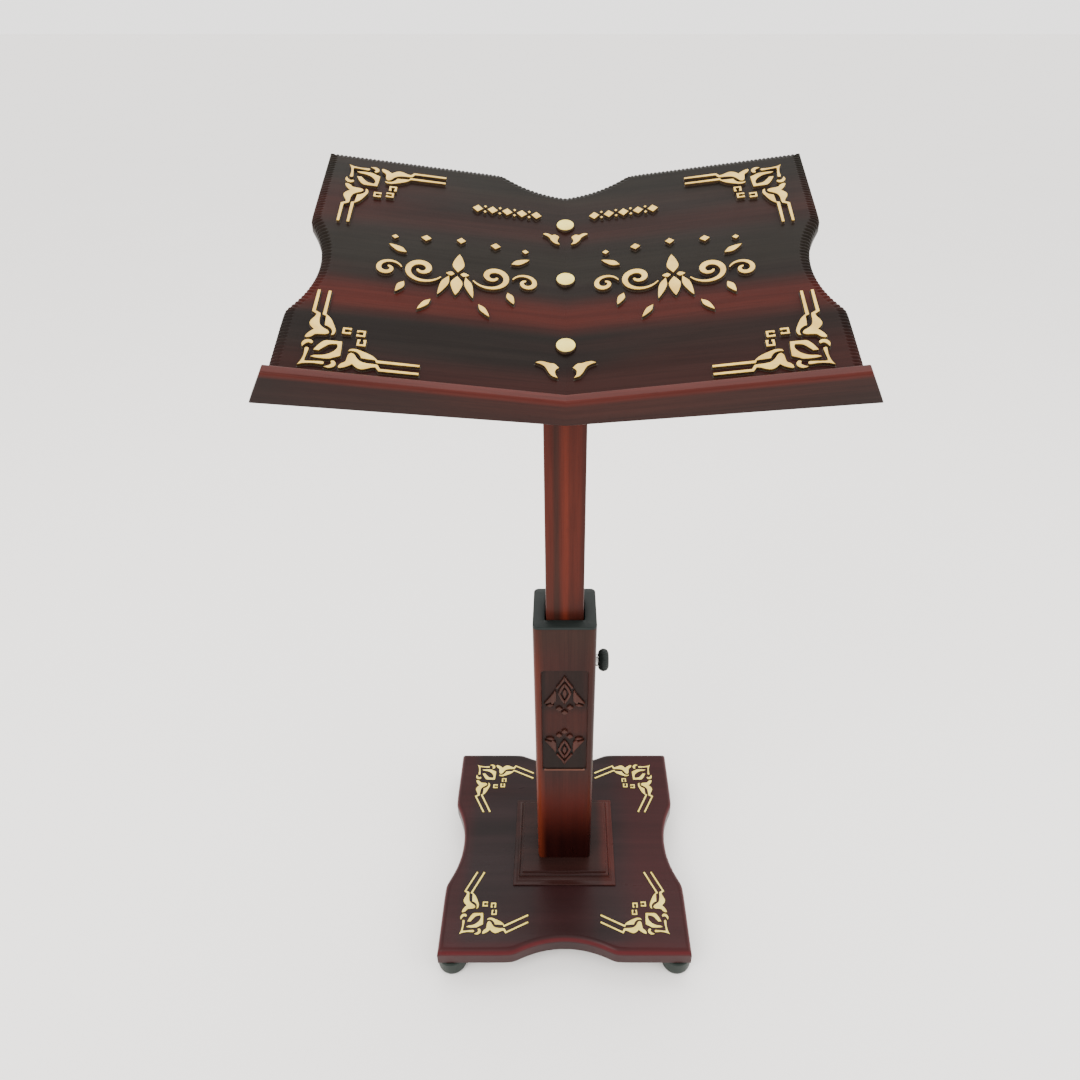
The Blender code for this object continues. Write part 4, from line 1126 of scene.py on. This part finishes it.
def make_base_plate():
    """The scalloped board with a rounded-over top edge."""
    thickness = BASE_HIGH.z - BASE_LOW.z
    rows_wanted = [(0.0012, 0.0), (0.0, 0.0012), (0.0, thickness - BASE_ROUND)]
    for step in range(1, 9):
        angle = step / 8 * math.pi / 2
        rows_wanted.append((BASE_ROUND * (1 - math.cos(angle)),
                            thickness - BASE_ROUND + BASE_ROUND * math.sin(angle)))
    bm = bmesh.new()
    rows = []
    for inward, height in rows_wanted:
        row = []
        for place, direction, room in base_ring():
            offset = min(inward, room)
            level = height
            if room < inward and height > 0.01:
                rise = math.sqrt(max(0.0, BASE_ROUND ** 2 - (BASE_ROUND - offset) ** 2))
                level = thickness - BASE_ROUND + rise
            spot = place + direction * offset
            row.append(bm.verts.new((spot.x, spot.y, BASE_LOW.z + level)))
        rows.append(row)
    bridge_rows(bm, rows)
    close_rims(bm, (BASE_LOW.z + BASE_HIGH.z) / 2)
    finish_piece("base_plate_rounded", mesh_of(bm, "base_plate"), [BASE_WOOD], "base", ["base_plate"],
                 bevel=0.0012, segments=3, bevel_angle=40.0)


def make_plinth():
    """A square moulding: fillet, cove, bead and an upright lip."""
    low = PLINTH_LOW.z
    half = PLINTH_HIGH.x
    top = PLINTH_HIGH.z - low
    profile = [(half - 0.0004, 0.0), (half, 0.0004), (half, 0.0018), (half - 0.0006, 0.0023),
               (half - 0.0014, 0.0024)]
    start, end = half - 0.0016, 0.0618
    for step in range(1, 9):
        angle = step / 8 * math.pi / 2
        profile.append((end + (start - end) * (1 - math.sin(angle)), 0.0024 + 0.0064 * (1 - math.cos(angle))))
    profile += [(0.061, 0.009), (0.0606, 0.0096), (0.0598, 0.0101), (0.0584, 0.0102), (0.058, 0.0106),
                (0.058, top - 0.001), (0.0577, top - 0.0003), (0.057, top)]
    bm = bmesh.new()
    rows = []
    for reach, height in profile:
        rows.append([bm.verts.new((x * reach, y * reach, low + height))
                     for x, y in ((1, 1), (-1, 1), (-1, -1), (1, -1))])
    bridge_rows(bm, rows, ends=True)
    finish_piece("plinth_moulded", mesh_of(bm, "plinth"), [PLINTH_WOOD], "base", ["plinth"],
                 bevel=0.0007, segments=2, bevel_angle=60.0)


def make_feet():
    """Round glides with a soft lower edge and a counterbore for their screw."""
    profile = rounded_profile([
        (0.0028, 0.0257), (0.018, 0.0257), (0.0192, 0.0245), (0.0192, 0.007), (0.0184, 0.0028),
        (0.015, 0.0), (0.0062, 0.0), (0.0062, 0.012), (0.0028, 0.012), (0.0028, 0.0257),
    ], [0.0, 0.001, 0.001, 0.002, 0.002, 0.001, 0.0006, 0.0, 0.0, 0.0], 4)
    for end in ("front", "rear"):
        for side in ("left", "right"):
            node = "foot_%s_%s" % (end, side)
            low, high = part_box(node)
            centre = Matrix.Translation(((low.x + high.x) / 2, (low.y + high.y) / 2, 0.0))
            lathe(node + "_glide", profile, 64, centre, [FOOT_PLASTIC], "base", [node])


def make_base_trim():
    for side, sign_x in (("left", -1), ("right", 1)):
        for end, sign_y in (("front", -1), ("rear", 1)):
            node = "base_corner_%s_%s" % (end, side)
            low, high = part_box(node)
            corner_x = max(abs(low.x), abs(high.x)) - 0.0015
            corner_y = max(abs(low.y), abs(high.y)) + 0.0005
            outlines = [[(sign_x * (corner_x - a), sign_y * (corner_y - b)) for a, b in outline]
                        for outline in corner_outlines(93.5, 93.5, math.radians(26.0), (90, -90, 0))]
            add_trim(node, outlines, "base", Matrix.Identity(4), low.z - GAP * 0.7,
                     BASE_TRIM_HEIGHT + GAP * 0.6, PALE_GILT)


# ---------------------------------------------------------------- clamp

def make_clamp():
    """The knob with a ribbed rim and a dished face; its metal hub."""
    centre_z = (KNOB_LOW.z + KNOB_HIGH.z) / 2
    axis = Matrix.Translation((0.0, 0.0, centre_z)) @ Matrix.Rotation(math.pi / 2, 4, "Y")
    radius = (KNOB_HIGH.z - KNOB_LOW.z) / 2
    inner, outer = KNOB_LOW.x, KNOB_HIGH.x
    profile = rounded_profile([
        (0.0, outer - 0.001), (0.006, outer - 0.001), (0.0072, outer - 0.0002), (0.0092, outer),
        (radius - 0.0012, outer - 0.002), (radius, outer - 0.0052), (radius, inner + 0.005),
        (radius - 0.0016, inner + 0.0018), (0.0095, inner), (0.0086, inner + 0.0012), (0.008, inner + 0.003),
        (0.0045, inner + 0.003), (0.0045, inner + 0.0062), (0.0, inner + 0.0062),
    ], [0.0, 0.001, 0.001, 0.002, 0.002, 0.0025, 0.0025, 0.0018, 0.0008, 0.0, 0.0, 0.0, 0.0, 0.0], 4)

    def ribs(angle, reach):
        if reach < radius - 0.0016:
            return reach
        return reach - 0.00045 * (0.5 + 0.5 * math.cos(30 * angle))

    lathe("clamp_knob_ribbed", profile, 240, axis, [BLACK_PLASTIC], "clamp_knob", ["clamp_knob"],
          ripple=ribs, sharp=50.0)
    hub = rounded_profile([
        (0.0044, HUB_HIGH.x), (0.0075, HUB_HIGH.x), (0.0075, HUB_LOW.x), (0.0044, HUB_LOW.x),
        (0.0044, HUB_HIGH.x),
    ], [0.0, 0.0005, 0.0005, 0.0, 0.0], 3)
    lathe("clamp_hub_turned", hub, 48, axis, [STEEL], "clamp_knob", ["clamp_hub"])


# ---------------------------------------------------------------- carried-over nodes

def paint_nodes():
    """CAD nodes that stay as they are get their material."""
    finishes = {
        "clamp_pad": STEEL, "clamp_stud": STEEL, "clamp_insert": BRASS, "column_foot_block": BEECH,
        "post_dowel_left": BEECH, "post_dowel_right": BEECH, "base_bolt_left": STEEL, "base_bolt_right": STEEL,
    }
    for name in NODES:
        if name.startswith(("foot_screw", "fold_screw", "rail_screw")):
            finishes[name] = STEEL
    for name, material in finishes.items():
        mesh = NODES[name].data
        mesh.materials.clear()
        mesh.materials.append(material)


# ---------------------------------------------------------------- stage, light, camera

def make_stage():
    bm = bmesh.new()
    bmesh.ops.create_grid(bm, x_segments=1, y_segments=1, size=60.0)
    floor = place_in_scene("floor", mesh_of(bm, "floor"))
    nodes = Nodes("pale_floor")
    colour = nodes.mix(nodes.noise(2.0, 3.0), (0.91, 0.89, 0.865), (0.935, 0.92, 0.905))
    floor.data.materials.append(nodes.finish(colour, 0.7))


def add_light(name, place, target, size, power, colour=(1.0, 1.0, 1.0)):
    light = bpy.data.lights.new(name, "AREA")
    light.shape = "RECTANGLE"
    light.size, light.size_y = size
    light.energy = power
    light.color = colour
    obj = place_in_scene(name, light)
    obj.location = place
    direction = Vector(target) - Vector(place)
    obj.rotation_euler = direction.to_track_quat("-Z", "Y").to_euler()


def make_lights():
    world = bpy.data.worlds.new("studio")
    bpy.context.scene.world = world
    world.use_nodes = True
    background = world.node_tree.nodes["Background"]
    background.inputs["Color"].default_value = (1.0, 0.98, 0.96, 1.0)
    background.inputs["Strength"].default_value = 2.3
    middle = (0.0, 0.0, 0.5)
    add_light("key", (-1.6, -1.8, 2.6), middle, (1.6, 1.6), 60.0, (1.0, 0.97, 0.94))
    add_light("fill", (2.2, -1.2, 1.6), middle, (1.4, 1.4), 22.0)
    add_light("top", (0.2, 0.9, 2.8), middle, (2.2, 1.2), 30.0)


def make_camera():
    focal_share = 0.7319
    camera = bpy.data.cameras.new("camera")
    camera.sensor_width = 36.0
    camera.lens = camera.sensor_width * focal_share
    camera.shift_x = -0.0204
    obj = place_in_scene("camera", camera)
    obj.location = (-0.0031, -0.7181, 1.057)
    obj.rotation_euler = (math.radians(90.0 - 33.62), 0.0, 0.0)
    bpy.context.scene.camera = obj


make_base_plate()
make_plinth()
make_feet()
make_base_trim()
make_column()
make_cap_plate()
make_clamp()
make_post()
make_under_desk()
make_leaves()
make_ledges()
make_discs()
make_leaf_trim()
paint_nodes()
make_stage()
make_lights()
make_camera()

bpy.context.view_layer.update()
